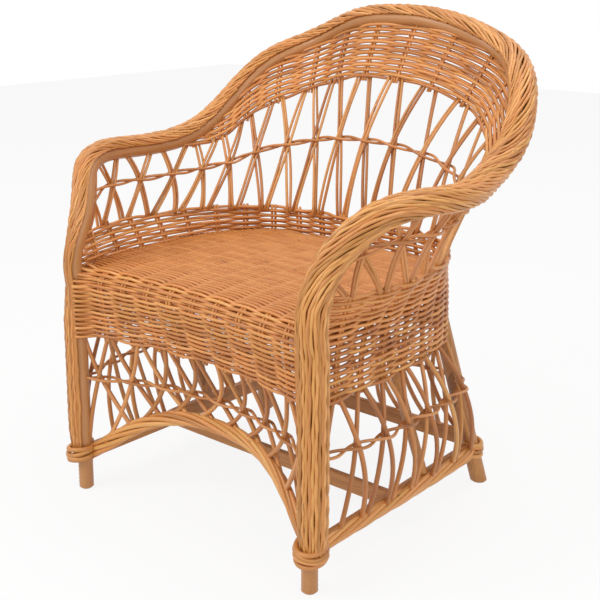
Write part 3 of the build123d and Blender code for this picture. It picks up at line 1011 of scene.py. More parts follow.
@dataclass
class BackBand:
    """The woven band that hangs from the hoop round the back and tapers out at the wings.

    It begins at the share start and has its full depth at the share full. Its lower edge,
    the twined lines and the stakes' tuck are levels of the upper body.
    """

    body: Body
    weaving: Weaving
    start: float = 0.20
    full: float = 0.29
    edge: float = 0.71
    tip: float = 0.004
    bite: float = 0.004
    arm_twine: float = 0.57
    back_twine: float = 0.40
    overlap: float = 0.002
    climb_step: float = 0.02
    stake_ease: float = 0.1
    stake_tuck: float = 0.02
    stake_points: int = 10
    seed: int = 23

    def ease(self, share: np.ndarray) -> np.ndarray:
        """Goes from 0 at the band's start to 1 where it has its full depth."""
        half = np.minimum(share, 1 - share)
        return np.clip((half - self.start) / (self.full - self.start), 0.0, 1.0)

    def top_level(self, share: np.ndarray) -> np.ndarray:
        """The level at which the weaving meets the hoop."""
        rise = np.maximum(self.body.rise_at(share), 2 * self.body.hoop_radius)
        return 1 - (self.body.hoop_radius - self.bite) / rise

    def edge_level(self, share: np.ndarray) -> np.ndarray:
        """The level of the band's lower edge: a quarter sine from the hoop to its depth."""
        top = self.top_level(share)
        return top + (self.edge - top) * np.sin(self.ease(share) * np.pi / 2)

    def twine_level(self, share: np.ndarray) -> np.ndarray:
        """The level at which the open stakes cross."""
        return self.arm_twine + (self.back_twine - self.arm_twine) * self.ease(share)

    def build(self, store: Store) -> None:
        """Weaves rows up from the lower edge, each ending where it meets the hoop.

        Args:
            store: where the built materials are kept.
        """
        random = np.random.default_rng(self.seed)
        body = self.body
        bundle = RodBundle(sides=6)
        first = self.start + self.tip
        count = int(body.gap_count * self.weaving.steps_per_gap * (1 - 2 * first))
        share = np.linspace(first, 1 - first, count + 1)
        rise = body.rise_at(share)
        edge = self.edge_level(share)
        top = self.top_level(share)
        rows = int(np.max((top - edge) * rise) / self.weaving.pitch)
        for row in range(rows + 1):
            level = edge + row * self.weaving.pitch / rise
            inside = level <= top + self.overlap
            if np.count_nonzero(inside) < 2 * self.weaving.steps_per_gap:
                continue
            part = share[inside]
            path = body.back_point(part, level[inside])
            above = body.back_point(part, level[inside] + self.climb_step)
            outward = outward_of(body, path, above - path)
            self.weaving.add_row(bundle, path, outward, part * body.gap_count, row, random)
        places = np.arange(1, body.gap_count) / body.gap_count
        places = places[self.ease(places) > self.stake_ease]
        lows = self.edge_level(places) - self.stake_tuck
        lines = []
        for place, low, high in zip(places, lows, self.top_level(places)):
            levels = np.linspace(low, high, self.stake_points)
            lines.append(body.back_point(np.full_like(levels, place), levels))
        self.weaving.add_stakes(bundle, lines, body, random)
        finish_piece(bundle, "back_band_weaving", ["back_band"], WEAVER, store)


@dataclass
class SeatAndApron:
    """The seat's weaving, which rolls over the front edge and hangs down as the apron.

    The edge starts to roll at the fall turn, and the seat's weave has settled flat at the
    depth settle. The last rows go on past the seat's back, under the waist band.
    """

    body: Body
    weaving: Weaving
    seat: Weaving
    thickness: float = 0.014
    edge_recess: float = 0.018
    edge_radius: float = 0.024
    hem_recess: float = 0.047
    turn: float = 0.70
    settle: float = 0.16
    wrap_length: float = 0.030
    wrap_rise: float = 0.3
    side_margin: float = 0.010
    climb_step: float = 0.01
    gap_count: int = 10
    apron_points: int = 60
    stake_foot: float = -0.03
    stake_drop: float = 0.2
    apron_stake_points: int = 24
    seat_stake_points: int = 60
    rim_points: int = 400
    last_rows: int = 3
    seed: int = 37
    apron_rows: int = field(init=False, default=0)

    def apron_point(self, share: np.ndarray, fall: np.ndarray) -> np.ndarray:
        """The apron from its hem up, and over the rolled edge by a quarter circle.

        Across the chair it bows back as a parabola. Beside the legs it swells round them
        by a quarter sine.

        Args:
            share: shares of the way from the left front leg to the right one.
            fall: 0 at the hem and 1 where the edge meets the seat.

        Returns:
            One point for each share.
        """
        body = self.body
        fall = np.broadcast_to(fall, np.shape(share))
        top = body.seat_height - self.thickness / 2 - self.edge_radius
        part = np.minimum(fall / self.turn, 1.0)
        side = 2 * share - 1
        recess = self.hem_recess + (self.edge_recess - self.hem_recess) * part
        angle = np.pi / 2 * np.clip((fall - self.turn) / (1 - self.turn), 0.0, 1.0)
        y = body.leg_y + recess * (1 - side * side) + self.edge_radius * (1 - np.cos(angle))
        z = body.hem.height + (top - body.hem.height) * part + self.edge_radius * np.sin(angle)
        near = np.clip(1 - (1 - np.abs(side)) * body.leg_x / self.wrap_length, 0.0, 1.0)
        lift = (body.hoop_radius + self.weaving.weaver_diameter / 2) * np.sin(near * np.pi / 2)
        y = y - lift * np.cos(angle)
        z = z + lift * np.sin(angle) * self.wrap_rise
        return np.stack([side * body.leg_x, y, z], axis=-1)

    def seat_half_width(self, y: np.ndarray) -> np.ndarray:
        """Half the seat's width, read from the waist band at the seat's height.

        Args:
            y: places from front to back.

        Returns:
            One half width for each place.
        """
        body = self.body
        level = (body.seat_height - body.hem.height) / (body.waist.height - body.hem.height)
        share = np.linspace(0.5, 1.0, self.rim_points)
        rim = body.band_point(share, level)
        order = np.argsort(rim[:, 1])
        return np.interp(y, rim[order, 1], rim[order, 0]) - self.seat.weaver_diameter

    def seat_row(self, depth: float, share: np.ndarray) -> np.ndarray:
        """One row of the seat: bowed like the front edge at first, and straight at the back.

        Args:
            depth: 0 at the front edge and 1 at the back.
            share: shares of the way from left to right.

        Returns:
            One point for each share.
        """
        body = self.body
        front = body.leg_y + self.edge_radius
        back = body.waist.back_y - self.thickness
        start = front + (back - front) * depth
        half = self.seat_half_width(np.array([start]))[0]
        side = 2 * share - 1
        y = start + self.edge_recess * (1 - depth) * (1 - side * side)
        z = np.full_like(share, self.seat_line(depth))
        return np.stack([side * half, y, z], axis=-1)

    def seat_line(self, depth: float | np.ndarray) -> np.ndarray:
        """Height of the seat's middle: level with the rolled edge, then flush with the top."""
        low = self.body.seat_height - self.thickness / 2
        flush = self.body.seat_height - self.seat.swing - self.seat.weaver_diameter / 2
        return low + (flush - low) * np.clip(depth / self.settle, 0.0, 1.0)

    def stations(self, path: np.ndarray) -> np.ndarray:
        """Which stake the weaving has reached, by the distance across the chair."""
        return (path[:, 0] / self.body.leg_x + 1) / 2 * self.gap_count

    def build_apron(self, store: Store, random: np.random.Generator) -> None:
        """Weaves the apron, hem to rolled edge, with its stakes.

        Args:
            store: where the built materials are kept.
            random: source of the small differences between rods.
        """
        bundle = RodBundle(sides=6)
        count = self.gap_count * self.weaving.steps_per_gap + 1
        share = np.linspace(self.side_margin, 1 - self.side_margin, count)
        falls = np.linspace(0.0, 1.0, self.apron_points)
        profile = self.apron_point(np.full_like(falls, 0.5), falls)
        run = running_length(profile)
        self.apron_rows = int(round(run[-1] / self.weaving.pitch))
        for row in range(self.apron_rows):
            fall = float(np.interp(run[-1] * row / self.apron_rows, run, falls))
            path = self.apron_point(share, fall)
            above = self.apron_point(share, fall + self.climb_step)
            below = self.apron_point(share, fall - self.climb_step)
            outward = unit(np.cross(np.gradient(path, axis=0), above - below))
            self.weaving.add_row(bundle, path, outward, self.stations(path), row, random)
        levels = np.linspace(self.stake_foot, 1.0, self.apron_stake_points)
        drop = UP * np.minimum(levels, 0.0)[:, None] * self.stake_drop
        for station in range(1, self.gap_count):
            place = np.full_like(levels, station / self.gap_count)
            line = self.apron_point(place, np.maximum(levels, 0.0)) + drop
            self.stake_pair(bundle, line, random)
        finish_piece(bundle, "apron_weaving", ["front_apron"], WEAVER, store)

    def build_seat(self, store: Store, random: np.random.Generator) -> None:
        """Weaves the seat, front edge to back, on stakes that run front to back.

        Args:
            store: where the built materials are kept.
            random: source of the small differences between rods.
        """
        body = self.body
        bundle = RodBundle(sides=6)
        length = body.waist.back_y - self.thickness - body.leg_y - self.edge_radius
        rows = int(round(length / self.seat.pitch))
        share = np.linspace(0.0, 1.0, (self.gap_count + 1) * self.seat.steps_per_gap + 1)
        for row in range(rows + self.last_rows):
            depth = row / rows
            path = self.seat_row(depth, share)
            calm = min(depth / self.settle, 1.0)
            swing = self.weaving.swing + (self.seat.swing - self.weaving.swing) * calm
            count = self.apron_rows + row
            self.seat.add_row(bundle, path, UP, self.stations(path), count, random, swing)
        front = body.leg_y + self.edge_radius + self.edge_recess
        for station in range(0, self.gap_count + 1):
            x = (2 * station / self.gap_count - 1) * body.leg_x
            y = np.linspace(front, body.waist.back_y - self.thickness, self.seat_stake_points)
            y = y[self.seat_half_width(y) > abs(x)]
            z = self.seat_line((y - front) / length)
            line = np.stack([np.full_like(y, x), y, z], axis=-1)
            self.stake_pair(bundle, line, random)
        finish_piece(bundle, "seat_weaving", ["seat_weave"], SEAT, store)

    def stake_pair(self, bundle: RodBundle, line: np.ndarray, random: np.random.Generator) -> None:
        """Adds two stakes side by side along a line that runs front to back."""
        for side in (-0.5, 0.5):
            path = line + ACROSS * side * self.weaving.stake_gap
            bundle.add_varied(path, ACROSS, self.weaving.stake_diameter / 2, random)

    def build(self, store: Store) -> None:
        """Weaves the apron and the seat.

        Args:
            store: where the built materials are kept.
        """
        random = np.random.default_rng(self.seed)
        self.build_apron(store, random)
        self.build_seat(store, random)


@dataclass
class Hoop:
    """The bent pole that makes both front legs, the arms' edges and the top of the back."""

    body: Body
    bevel: float = 0.003
    foot_length: float = 0.066
    ring_gap: float = 0.0075
    ring_depth: float = 0.0004
    foot_step: float = 0.0015
    points: int = 500
    thin_share: float = 0.985
    uneven_share: float = 0.012
    waves: tuple[float, float, float] = (61.0, 23.0, 151.0)
    tone: float = 0.5
    sides: int = 20

    def build(self, store: Store) -> None:
        """Carries a slightly uneven round profile along the hoop's middle line.

        Its radius follows the product of two sines of the way along it and half of a
        third. Near the floor, shallow grooves part bound rings: the root of a sine of
        the height.

        Args:
            store: where the built materials are kept.
        """
        line = self.body.hoop_curve
        length = running_length(line)[-1]
        tips = np.array([0.0, self.bevel / length])
        foot = np.arange(self.bevel + self.foot_step, self.foot_length, self.foot_step) / length
        pole = np.linspace(self.foot_length / length, 1 - self.foot_length / length, self.points)
        share = np.concatenate([tips, foot, pole, 1 - foot[::-1], 1 - tips[::-1]])
        path = along_chain(line, share)
        first, second, third = self.waves
        uneven = np.sin(share * first) * np.sin(share * second + 1) + 0.5 * np.sin(share * third)
        rings = np.abs(np.sin(np.pi * path[:, 2] / self.ring_gap)) ** 0.5 - 1
        rings = rings * np.where(path[:, 2] < self.foot_length, self.ring_depth, 0.0)
        radius = self.body.hoop_radius * (self.thin_share + self.uneven_share * uneven) + rings
        radius[[0, -1]] -= self.bevel
        bundle = RodBundle(sides=self.sides)
        bundle.add(path, np.array([0.0, 1.0, 0.02]), radius, self.tone)
        finish_piece(bundle, "bent_hoop_pole", ["bent_hoop"], HOOP, store)


@dataclass
class RolledBorder:
    """Willow rods laid side by side over the hoop, each winding from under it to the inside.

    Turns and sways are in degrees round the hoop, 0 outwards and 90 up. The border lies
    closer to the left post than elsewhere: hug_scale is the share of the full roll that is
    left at each hug_distance along the hoop.
    """

    body: Body
    start_height: float = 0.072
    shift_out: float = 0.009
    shift_up: float = 0.005
    width: float = 0.054
    thickness: float = 0.046
    rod_diameter: float = 0.0056
    spacing: float = 0.0178
    reach: float = 0.312
    turn_start: float = -75.0
    turn_end: float = 167.0
    post_turn: float = 0.93
    sway: float = 2.3
    post_sway: float = 2.0
    sway_length: float = 0.034
    ripple: float = 0.0010
    gather_length: float = 0.060
    gather: float = 0.0045
    hug_distance: tuple[float, ...] = (0.0, 0.24, 0.30, 0.36, 0.42, 0.50, 0.62)
    hug_scale: tuple[float, ...] = (0.80, 0.78, 0.62, 0.50, 0.76, 0.80, 1.0)
    hug_power: float = 0.6
    point_gap: float = 0.0066
    fewest_points: int = 12
    post_blend: float = 0.10
    slow_length: float = 0.052
    slow_share: float = 0.8
    phase_shift: float = 0.9
    ripple_shift: float = 0.8
    tuck: float = 0.0042
    tuck_share: float = 0.10
    uneven: float = 0.06
    thinnest: float = 0.9
    thickest: float = 1.06
    tip_scale: float = 0.8
    tip_length: float = 0.05
    core_angles: tuple[float, ...] = (-50.0, -15.0, 20.0, 55.0, 90.0, 125.0)
    core_inset: float = 0.0084
    core_share: float = 0.62
    core_points: int = 420
    arm_share: float = 0.33
    seed: int = 51
    line: np.ndarray = field(init=False, repr=False)
    length: float = field(init=False)
    climb: float = field(init=False)

    def __post_init__(self) -> None:
        """Cuts the hoop's line where the border starts on each post."""
        foot = np.array([[self.body.leg_x, self.body.leg_y, self.start_height]])
        rest = self.body.hoop_curve[1:-1]
        self.line = np.concatenate([mirrored(foot), rest, foot])
        self.length = running_length(self.line)[-1]
        self.climb = self.body.arm_bend_height - self.start_height

    def hug(self, distance: np.ndarray) -> np.ndarray:
        """The share of the full roll that is left at each distance along the hoop."""
        return np.interp(distance, self.hug_distance, self.hug_scale)

    def place(self, distance: np.ndarray, angle: np.ndarray, inset: np.ndarray) -> np.ndarray:
        """Places on the border, whose section is an ellipse set off the hoop's middle.

        A place is the middle plus the half width times cos(angle) outwards and the half
        thickness times sin(angle) upwards, but never inside the hoop.

        Args:
            distance: length along the hoop.
            angle: degrees round it, 0 outwards and 90 up.
            inset: how far under the border's outside.

        Returns:
            One point for each distance.
        """
        body = self.body
        share = distance / self.length
        step = body.hoop_radius / self.length
        centre = along_chain(self.line, share)
        ahead = unit(along_chain(self.line, share + step) - along_chain(self.line, share - step))
        away = -body.inward(centre)
        away = unit(away - ahead * dot(ahead, away))
        over = np.cross(ahead, away)
        turn = np.radians(angle)
        hug = self.hug(distance)
        out = self.shift_out + ((self.width - self.rod_diameter) / 2 - inset) * np.cos(turn)
        rise = self.shift_up + ((self.thickness - self.rod_diameter) / 2 - inset) * np.sin(turn)
        out, rise = out * hug, rise * hug
        clear = body.hoop_radius + self.rod_diameter / 2
        scale = np.maximum(1.0, clear / np.hypot(out, rise))
        return centre + (away * out[:, None] + over * rise[:, None]) * scale[:, None]

    def add_rod(self, bundle: RodBundle, start: float, random: np.random.Generator) -> None:
        """Adds one rod: straight on the posts, winding evenly over the arms and back.

        Its angle round the hoop grows evenly with the length and sways as two sines. Both
        ends are tucked under, and it thins towards them.

        Args:
            bundle: the rods it is added to.
            start: length along the hoop at which it starts, also before a post's top.
            random: source of the small differences between rods.
        """
        first, last = self.climb, self.length - self.climb
        begin = 0.0 if start < first else start
        end = self.length if start + self.reach > last else start + self.reach
        count = max(int((end - begin) / self.point_gap), self.fewest_points)
        distance = np.linspace(begin, end, count)
        wound = np.clip(distance, first if start < first else begin, min(last, start + self.reach))
        part = np.clip((wound - start) / self.reach, 0.0, 1.0)
        beyond = np.maximum(first - distance, distance - last)
        on_post = np.clip(0.5 + beyond / self.post_blend, 0.0, 1.0)
        winding = (self.turn_end - self.turn_start) * part
        angle = self.turn_start + winding * (1 - (1 - self.post_turn) * on_post)
        phase = np.pi * (distance - start) / self.sway_length
        sway = self.sway + (self.post_sway - self.sway) * on_post
        slow = np.sin(distance / self.slow_length + random.uniform(0, WHOLE_PHASE))
        quick = np.sin(phase + random.uniform(-self.phase_shift, self.phase_shift))
        angle = angle + sway * (quick + self.slow_share * slow)
        ends = np.minimum(part, 1 - part)
        tuck = self.tuck * np.maximum(0, 1 - ends / self.tuck_share)
        near_foot = np.minimum(distance, self.length - distance)
        gathered = self.gather * np.clip(1 - near_foot / self.gather_length, 0.0, 1.0) ** 2
        shift = random.uniform(-self.ripple_shift, self.ripple_shift)
        ripple = self.ripple * (1 + np.cos(phase * 2 + shift))
        path = self.place(distance, angle, tuck + ripple + gathered)
        away = unit(path - along_chain(self.line, distance / self.length))
        tip = np.clip(np.minimum(distance - begin, end - distance) / self.tip_length, 0, 1)
        uneven = 1 + self.uneven * np.sin(phase / 3 + random.uniform(0, WHOLE_PHASE))
        radius = self.rod_diameter / 2 * random.uniform(self.thinnest, self.thickest) * uneven
        radius = radius * (self.tip_scale + (1 - self.tip_scale) * tip)
        radius = radius * self.hug(distance) ** self.hug_power
        bundle.add_varied(path, away, radius, random)

    def add_core(self, bundle: RodBundle) -> None:
        """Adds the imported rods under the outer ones, which are seen only in the gaps.

        Args:
            bundle: the rods they are added to.
        """
        distance = np.linspace(0.0, self.length, self.core_points)
        inset = np.full_like(distance, self.core_inset)
        for angle in self.core_angles:
            path = self.place(distance, np.full_like(distance, angle), inset)
            away = unit(path - along_chain(self.line, distance / self.length))
            bundle.add(path, away, self.rod_diameter * self.core_share, 0.0, angle)

    def build(self, store: Store) -> None:
        """Winds all rods and sorts them into the two arms and the back.

        Args:
            store: where the built materials are kept.
        """
        random = np.random.default_rng(self.seed)
        bundles = {name: RodBundle(sides=8) for name in ("left_arm", "back", "right_arm")}
        start = self.climb - self.reach + self.spacing / 2
        while start < self.length - self.climb:
            middle = (start + self.reach / 2) / self.length
            name = "back"
            if middle < self.arm_share:
                name = "left_arm"
            elif middle >= 1 - self.arm_share:
                name = "right_arm"
            self.add_rod(bundles[name], start, random)
            start += self.spacing
        self.add_core(bundles["back"])
        for name, bundle in bundles.items():
            node = f"border_{name}"
            finish_piece(bundle, f"rolled_border_{name}", [node], BORDER, store)


@dataclass
class OpenLattice:
    """Rods that lean both ways and cross once, held by a twined line.

    They stand in pairs round the arms and back, and singly in the skirt and the front.
    Spreads and reaches say how far a rod's end leans off its crossing or station, as
    shares of a gap. The back's foot and head and the skirt's head are levels.
    """

    body: Body
    band: BackBand
    rod_diameter: float = 0.0056
    rod_gap: float = 0.0006
    skirt_rod_diameter: float = 0.0080
    twine_diameter: float = 0.0052
    foot_spread: float = 0.09
    head_spread: float = 0.16
    front_gap_count: int = 9
    front_head_reach: float = 0.45
    front_foot_reach: float = 0.95
    front_twine_recess: float = 0.078
    arch_recess: float = 0.075
    arch_rise: float = 0.097
    hem_recess: float = 0.047
    back_foot_level: float = -0.02
    back_head_tuck: float = 0.01
    skirt_head_level: float = 0.03
    front_head_tuck: float = 0.004
    front_margin: float = 0.012
    twine_margin: float = 0.02
    twine_steps_per_gap: int = 12
    skirt_clear_share: float = 0.8
    rod_points: int = 15
    bend: float = 0.0012
    thinnest: float = 0.93
    thickest: float = 1.05
    foot_scale: float = 1.04
    head_scale: float = 0.94
    seed: int = 71

    def arch_point(self, share: np.ndarray) -> np.ndarray:
        """The arched lower edge of the front: its rise falls off as a rounded cubic."""
        side = np.abs(2 * share - 1)
        height = self.body.base.height + self.arch_rise * (1 - side**3) ** 1.5
        return self.body.front_point(share, height, self.arch_recess)

    def add_leaning(
        self,
        bundle: RodBundle,
        points: tuple[np.ndarray, np.ndarray, np.ndarray],
        away: np.ndarray,
        offsets: Sequence[float],
        radius: float,
        random: np.random.Generator,
    ) -> None:
        """Adds rods side by side along the smooth bend through three points.

        The bend is the parabola through them, with the straight distances as parameter.

        Args:
            bundle: the rods they are added to.
            points: foot, crossing and head.
            away: direction off the body at the crossing.
            offsets: how far each rod lies to the side.
            radius: the rods' radius.
            random: source of the small differences between rods.
        """
        part = np.linspace(0.0, 1.0, self.rod_points)[:, None]
        run = running_length(np.array(points))
        middle = run[1] / run[2]
        line = (
            points[0] * (part - middle) * (part - 1) / middle
            + points[1] * part * (part - 1) / (middle * (middle - 1))
            + points[2] * part * (part - middle) / (1 - middle)
        )
        sideways = unit(np.cross(np.gradient(line, axis=0), away))
        for offset in offsets:
            bend = self.bend * np.sin(part * np.pi * 2 + random.uniform(0, WHOLE_PHASE))
            path = line + sideways * (offset + bend)
            taper = np.linspace(self.foot_scale, self.head_scale, self.rod_points)
            uneven = radius * random.uniform(self.thinnest, self.thickest) * taper
            bundle.add_varied(path, away, uneven, random)

    def build_upper(self, store: Store) -> None:
        """Sets the paired rods of the arms and back.

        Args:
            store: where the built materials are kept.
        """
        random = np.random.default_rng(self.seed)
        body = self.body
        gap = (self.rod_diameter + self.rod_gap) / 2
        for name, lean in (("left", -1), ("right", 1)):
            bundle = RodBundle(sides=8)
            for station in range(1, body.gap_count):
                lies = (self.foot_spread, 0.5, 1 - self.head_spread)
                shares = (station + lean * np.array(lies)) / body.gap_count
                edge = self.band.edge_level(shares[2:])[0] + self.back_head_tuck
                twine = self.band.twine_level(shares[1:2])[0]
                levels = np.array([self.back_foot_level, twine, edge])
                foot, middle, head = body.back_point(shares, levels)
                away = -body.inward(middle[None])[0]
                middle = middle - away * lean * self.rod_diameter / 2
                points = (foot, middle, head)
                self.add_leaning(bundle, points, away, (-gap, gap), self.rod_diameter / 2, random)
            node = f"back_stakes_leaning_{name}"
            finish_piece(bundle, f"open_stakes_{name}", [node], STAKE, store)

    def build_skirt(self, store: Store) -> None:
        """Sets the single rods between the waist band and the base border.

        Args:
            store: where the built materials are kept.
        """
        random = np.random.default_rng(self.seed + 1)
        body = self.body
        for name, lean in (("left", -1), ("right", 1)):
            bundle = RodBundle(sides=8)
            for station in range(1, body.gap_count):
                lies = (1 - self.foot_spread, 0.5, self.foot_spread)
                shares = (station + lean * np.array(lies)) / body.gap_count
                foot = along_chain(body.base_curve, shares[:1])[0]
                middle = along_chain(body.twine_curve, shares[1:2])[0]
                head = body.band_point(shares[2:], self.skirt_head_level)[0]
                away = -body.inward(middle[None])[0]
                middle = middle - away * lean * self.skirt_rod_diameter / 2
                points = (foot, middle, head)
                self.add_leaning(bundle, points, away, (0.0,), self.skirt_rod_diameter / 2, random)
            node = f"skirt_rods_leaning_{name}"
            finish_piece(bundle, f"skirt_rods_{name}", [node], STAKE, store)

    def build_front(self, store: Store) -> None:
        """Sets the single rods between the apron and the arched border.

        Args:
            store: where the built materials are kept.
        """
        random = np.random.default_rng(self.seed + 2)
        body = self.body
        head_height = body.hem.height + self.front_head_tuck
        for name, lean in (("left", -1), ("right", 1)):
            bundle = RodBundle(sides=8)
            for crossing in range(self.front_gap_count):
                lies = (self.front_foot_reach, 0.0, -self.front_head_reach)
                shares = (crossing + 0.5 + lean * np.array(lies)) / self.front_gap_count
                shares = np.clip(shares, self.front_margin, 1 - self.front_margin)
                foot = self.arch_point(shares[:1])[0]
                recess = self.front_twine_recess
                middle = body.front_point(shares[1:2], body.twine.height, recess)[0]
                head = body.front_point(shares[2:], head_height, self.hem_recess)[0]
                middle = middle - FORWARD * lean * self.skirt_rod_diameter / 2
                points = (foot, middle, head)
                radius = self.skirt_rod_diameter / 2
                self.add_leaning(bundle, points, FORWARD, (0.0,), radius, random)
            node = f"front_rods_leaning_{name}"
            finish_piece(bundle, f"front_rods_{name}", [node], STAKE, store)

    def build_twine(
        self,
        name: str,
        node: str,
        path: np.ndarray,
        away: np.ndarray,
        stations: np.ndarray,
        clear: float,
        store: Store,
    ) -> None:
        """Twines two rods round the crossings, half a turn from one crossing to the next.

        Args:
            name: the piece's name.
            node: the frame's node that it stands for.
            path: the line through the crossings.
            away: direction off the body at each point.
            stations: the number of the gap reached at each point.
            clear: how far the rods stand off the line at a crossing.
            store: where the built materials are kept.
        """
        random = np.random.default_rng(self.seed + len(name))
        bundle = RodBundle(sides=8)
        turn = np.pi * (stations - 0.5)
        rise = unit(np.cross(np.gradient(path, axis=0), away))
        for side in (-1.0, 1.0):
            line = path + away * (side * clear * np.cos(turn))[:, None]
            line = line + rise * (side * self.twine_diameter / 2 * np.sin(turn))[:, None]
            bundle.add_varied(line, rise, self.twine_diameter / 2, random)
        finish_piece(bundle, name, [node], STAKE, store)

    def build_twines(self, store: Store) -> None:
        """Twines the lines through the crossings of the back, the skirt and the front.

        Args:
            store: where the built materials are kept.
        """
        body = self.body
        end = body.hoop_radius / running_length(body.waist_curve)[-1]
        share = np.linspace(end, 1 - end, body.gap_count * self.twine_steps_per_gap + 1)
        stations = share * body.gap_count
        path = body.back_point(share, self.band.twine_level(share))
        clear = self.rod_diameter + self.twine_diameter / 2
        away = -body.inward(path)
        self.build_twine("back_twined_line", "back_twine", path, away, stations, clear, store)
        path = along_chain(body.twine_curve, share)
        clear = self.skirt_rod_diameter * self.skirt_clear_share + self.twine_diameter / 2
        away = -body.inward(path)
        self.build_twine("skirt_twined_line", "skirt_twine", path, away, stations, clear, store)
        count = self.front_gap_count * self.twine_steps_per_gap + 1
        share = np.linspace(self.twine_margin, 1 - self.twine_margin, count)
        stations = share * self.front_gap_count
        path = body.front_point(share, body.twine.height, self.front_twine_recess)
        away = np.broadcast_to(FORWARD, path.shape)
        self.build_twine("front_twined_line", "front_twine", path, away, stations, clear, store)

    def build(self, store: Store) -> None:
        """Builds the open stakes, the skirt's rods and the three twined lines.

        Args:
            store: where the built materials are kept.
        """
        self.build_upper(store)
        self.build_skirt(store)
        self.build_front(store)
        self.build_twines(store)


@dataclass
class PlaitedEdge:
    """The lower edges: borders of several rods that wind round one another."""

    body: Body
    lattice: OpenLattice
    rod_count: int = 6
    rod_diameter: float = 0.0086
    thinnest: float = 0.9
    thickest: float = 1.05
    height: float = 0.0092
    depth: float = 0.0046
    twist: float = 0.30
    base_margin: float = 0.008
    base_points: int = 500
    arch_margin: float = 0.015
    arch_points: int = 180
    seed: int = 91

    def plait(
        self, name: str, node: str, path: np.ndarray, away: np.ndarray, store: Store
    ) -> None:
        """Winds the rods along a path.

        Each rod goes round the path on an ellipse, higher than it is deep.

        Args:
            name: the piece's name.
            node: the frame's node that it stands for.
            path: the edge's middle line.
            away: direction off the body at each point.
            store: where the built materials are kept.
        """
        random = np.random.default_rng(self.seed + len(name))
        bundle = RodBundle(sides=8)
        run = running_length(path)
        rise = unit(np.cross(np.gradient(path, axis=0), away))
        rise = rise * np.sign(rise[:, 2:])
        for rod in range(self.rod_count):
            angle = 2 * np.pi * (run / self.twist + rod / self.rod_count)
            line = path + rise * (self.height * np.cos(angle))[:, None]
            line = line + away * (self.depth * np.sin(angle))[:, None]
            radius = self.rod_diameter / 2 * random.uniform(self.thinnest, self.thickest)
            bundle.add_varied(line, away, radius, random)
        finish_piece(bundle, name, [node], BORDER, store)

    def build(self, store: Store) -> None:
        """Plaits the base edge round three sides and the arched edge in front.

        Args:
            store: where the built materials are kept.
        """
        share = np.linspace(self.base_margin, 1 - self.base_margin, self.base_points)
        path = along_chain(self.body.base_curve, share)
        self.plait("base_edge", "base_border", path, -self.body.inward(path), store)
        share = np.linspace(self.arch_margin, 1 - self.arch_margin, self.arch_points)
        path = self.lattice.arch_point(share)
        away = np.broadcast_to(FORWARD, path.shape)
        self.plait("arched_edge", "arched_border", path, away, store)


@dataclass
class LegWraps:
    """Rods slung round each leg where the borders meet it.

    The wraps of the front legs are shifted off the hoop's middle, across and forward, and
    angles are in radians.
    """

    body: Body
    rod_diameter: float = 0.0086
    rod_count: int = 4
    pitch: float = 0.0066
    shift: float = 0.009
    dip: float = 0.0035
    lift: float = 0.003
    squeeze: float = 0.0045
    rear_foot: tuple[float, float] = (0.260, 0.185)
    rear_head: tuple[float, float] = (0.210, 0.084)
    rear_radius: float = 0.015
    rear_height: float = 0.396
    thinnest: float = 0.88
    thickest: float = 1.02
    corner_turn: float = 0.7
    shift_across: float = 0.6
    shift_forward: float = 0.4
    rear_dip_share: float = 0.5
    tuck_angle: float = 2.5
    cross: float = 0.0022
    cross_turns: float = 1.5
    cross_shift: float = 2.1
    points: int = 40
    seed: int = 113

    def sling(
        self, centre: tuple[float, float], inner: float, facing: float, count: int, dip: float
    ) -> np.ndarray:
        """One rod round a leg, lowest where it faces out, its ends tucked in at the back.

        A circle whose height falls by the dip times the cosine of the angle, and sways as
        a sine so that neighbours cross.

        Args:
            centre: the leg's middle at the wrap's height, across and back.
            inner: radius of what the rod holds.
            facing: the angle, seen from above, that the leg's outer corner faces.
            count: the rod's number, counted up from the lowest.
            dip: how much lower it hangs at the outer corner.

        Returns:
            The rod's middle line.
        """
        angle = np.linspace(-np.pi, np.pi, self.points)
        ends = np.clip((np.abs(angle) - self.tuck_angle) / (np.pi - self.tuck_angle), 0.0, 1.0)
        step = count - (self.rod_count - 1) / 2
        crowd = abs(step) / self.rod_count
        radius = inner + self.rod_diameter * (0.5 - 0.5 * crowd) - self.rod_diameter * ends
        cross = self.cross * np.sin(angle * self.cross_turns + count * self.cross_shift)
        middle = self.body.base.height + self.lift + self.pitch * step
        height = middle - dip * np.cos(angle) + cross
        turn = facing + angle
        x = centre[0] + radius * np.cos(turn)
        y = centre[1] + radius * np.sin(turn)
        return np.stack([x, y, height], axis=-1)

    def build(self, store: Store) -> None:
        """Slings the rods round the four legs.

        Args:
            store: where the built materials are kept.
        """
        random = np.random.default_rng(self.seed)
        body = self.body
        part = body.base.height / self.rear_height
        foot, head = np.array(self.rear_foot), np.array(self.rear_head)
        rear_x, rear_y = foot + (head - foot) * part
        front_x = body.leg_x + self.shift * self.shift_across
        front_y = body.leg_y - self.shift * self.shift_forward
        front_radius = body.hoop_radius + self.shift - self.squeeze / 2
        rear_dip = self.dip * self.rear_dip_share
        for name, side in (("left", -1.0), ("right", 1.0)):
            facing = -np.pi / 2 + side * self.corner_turn
            spots = (
                ("front", (side * front_x, front_y), front_radius, facing, self.dip),
                ("rear", (side * rear_x, rear_y), self.rear_radius, -facing, rear_dip),
            )
            for end, centre, inner, facing, dip in spots:
                bundle = RodBundle(sides=8)
                for count in range(self.rod_count):
                    path = self.sling(centre, inner, facing, count, dip)
                    radius = self.rod_diameter / 2 * random.uniform(self.thinnest, self.thickest)
                    bundle.add_varied(path, UP, radius, random)
                node = f"leg_wrap_{end}_{name}"
                finish_piece(bundle, f"wrap_{end}_{name}", [node], BORDER, store)


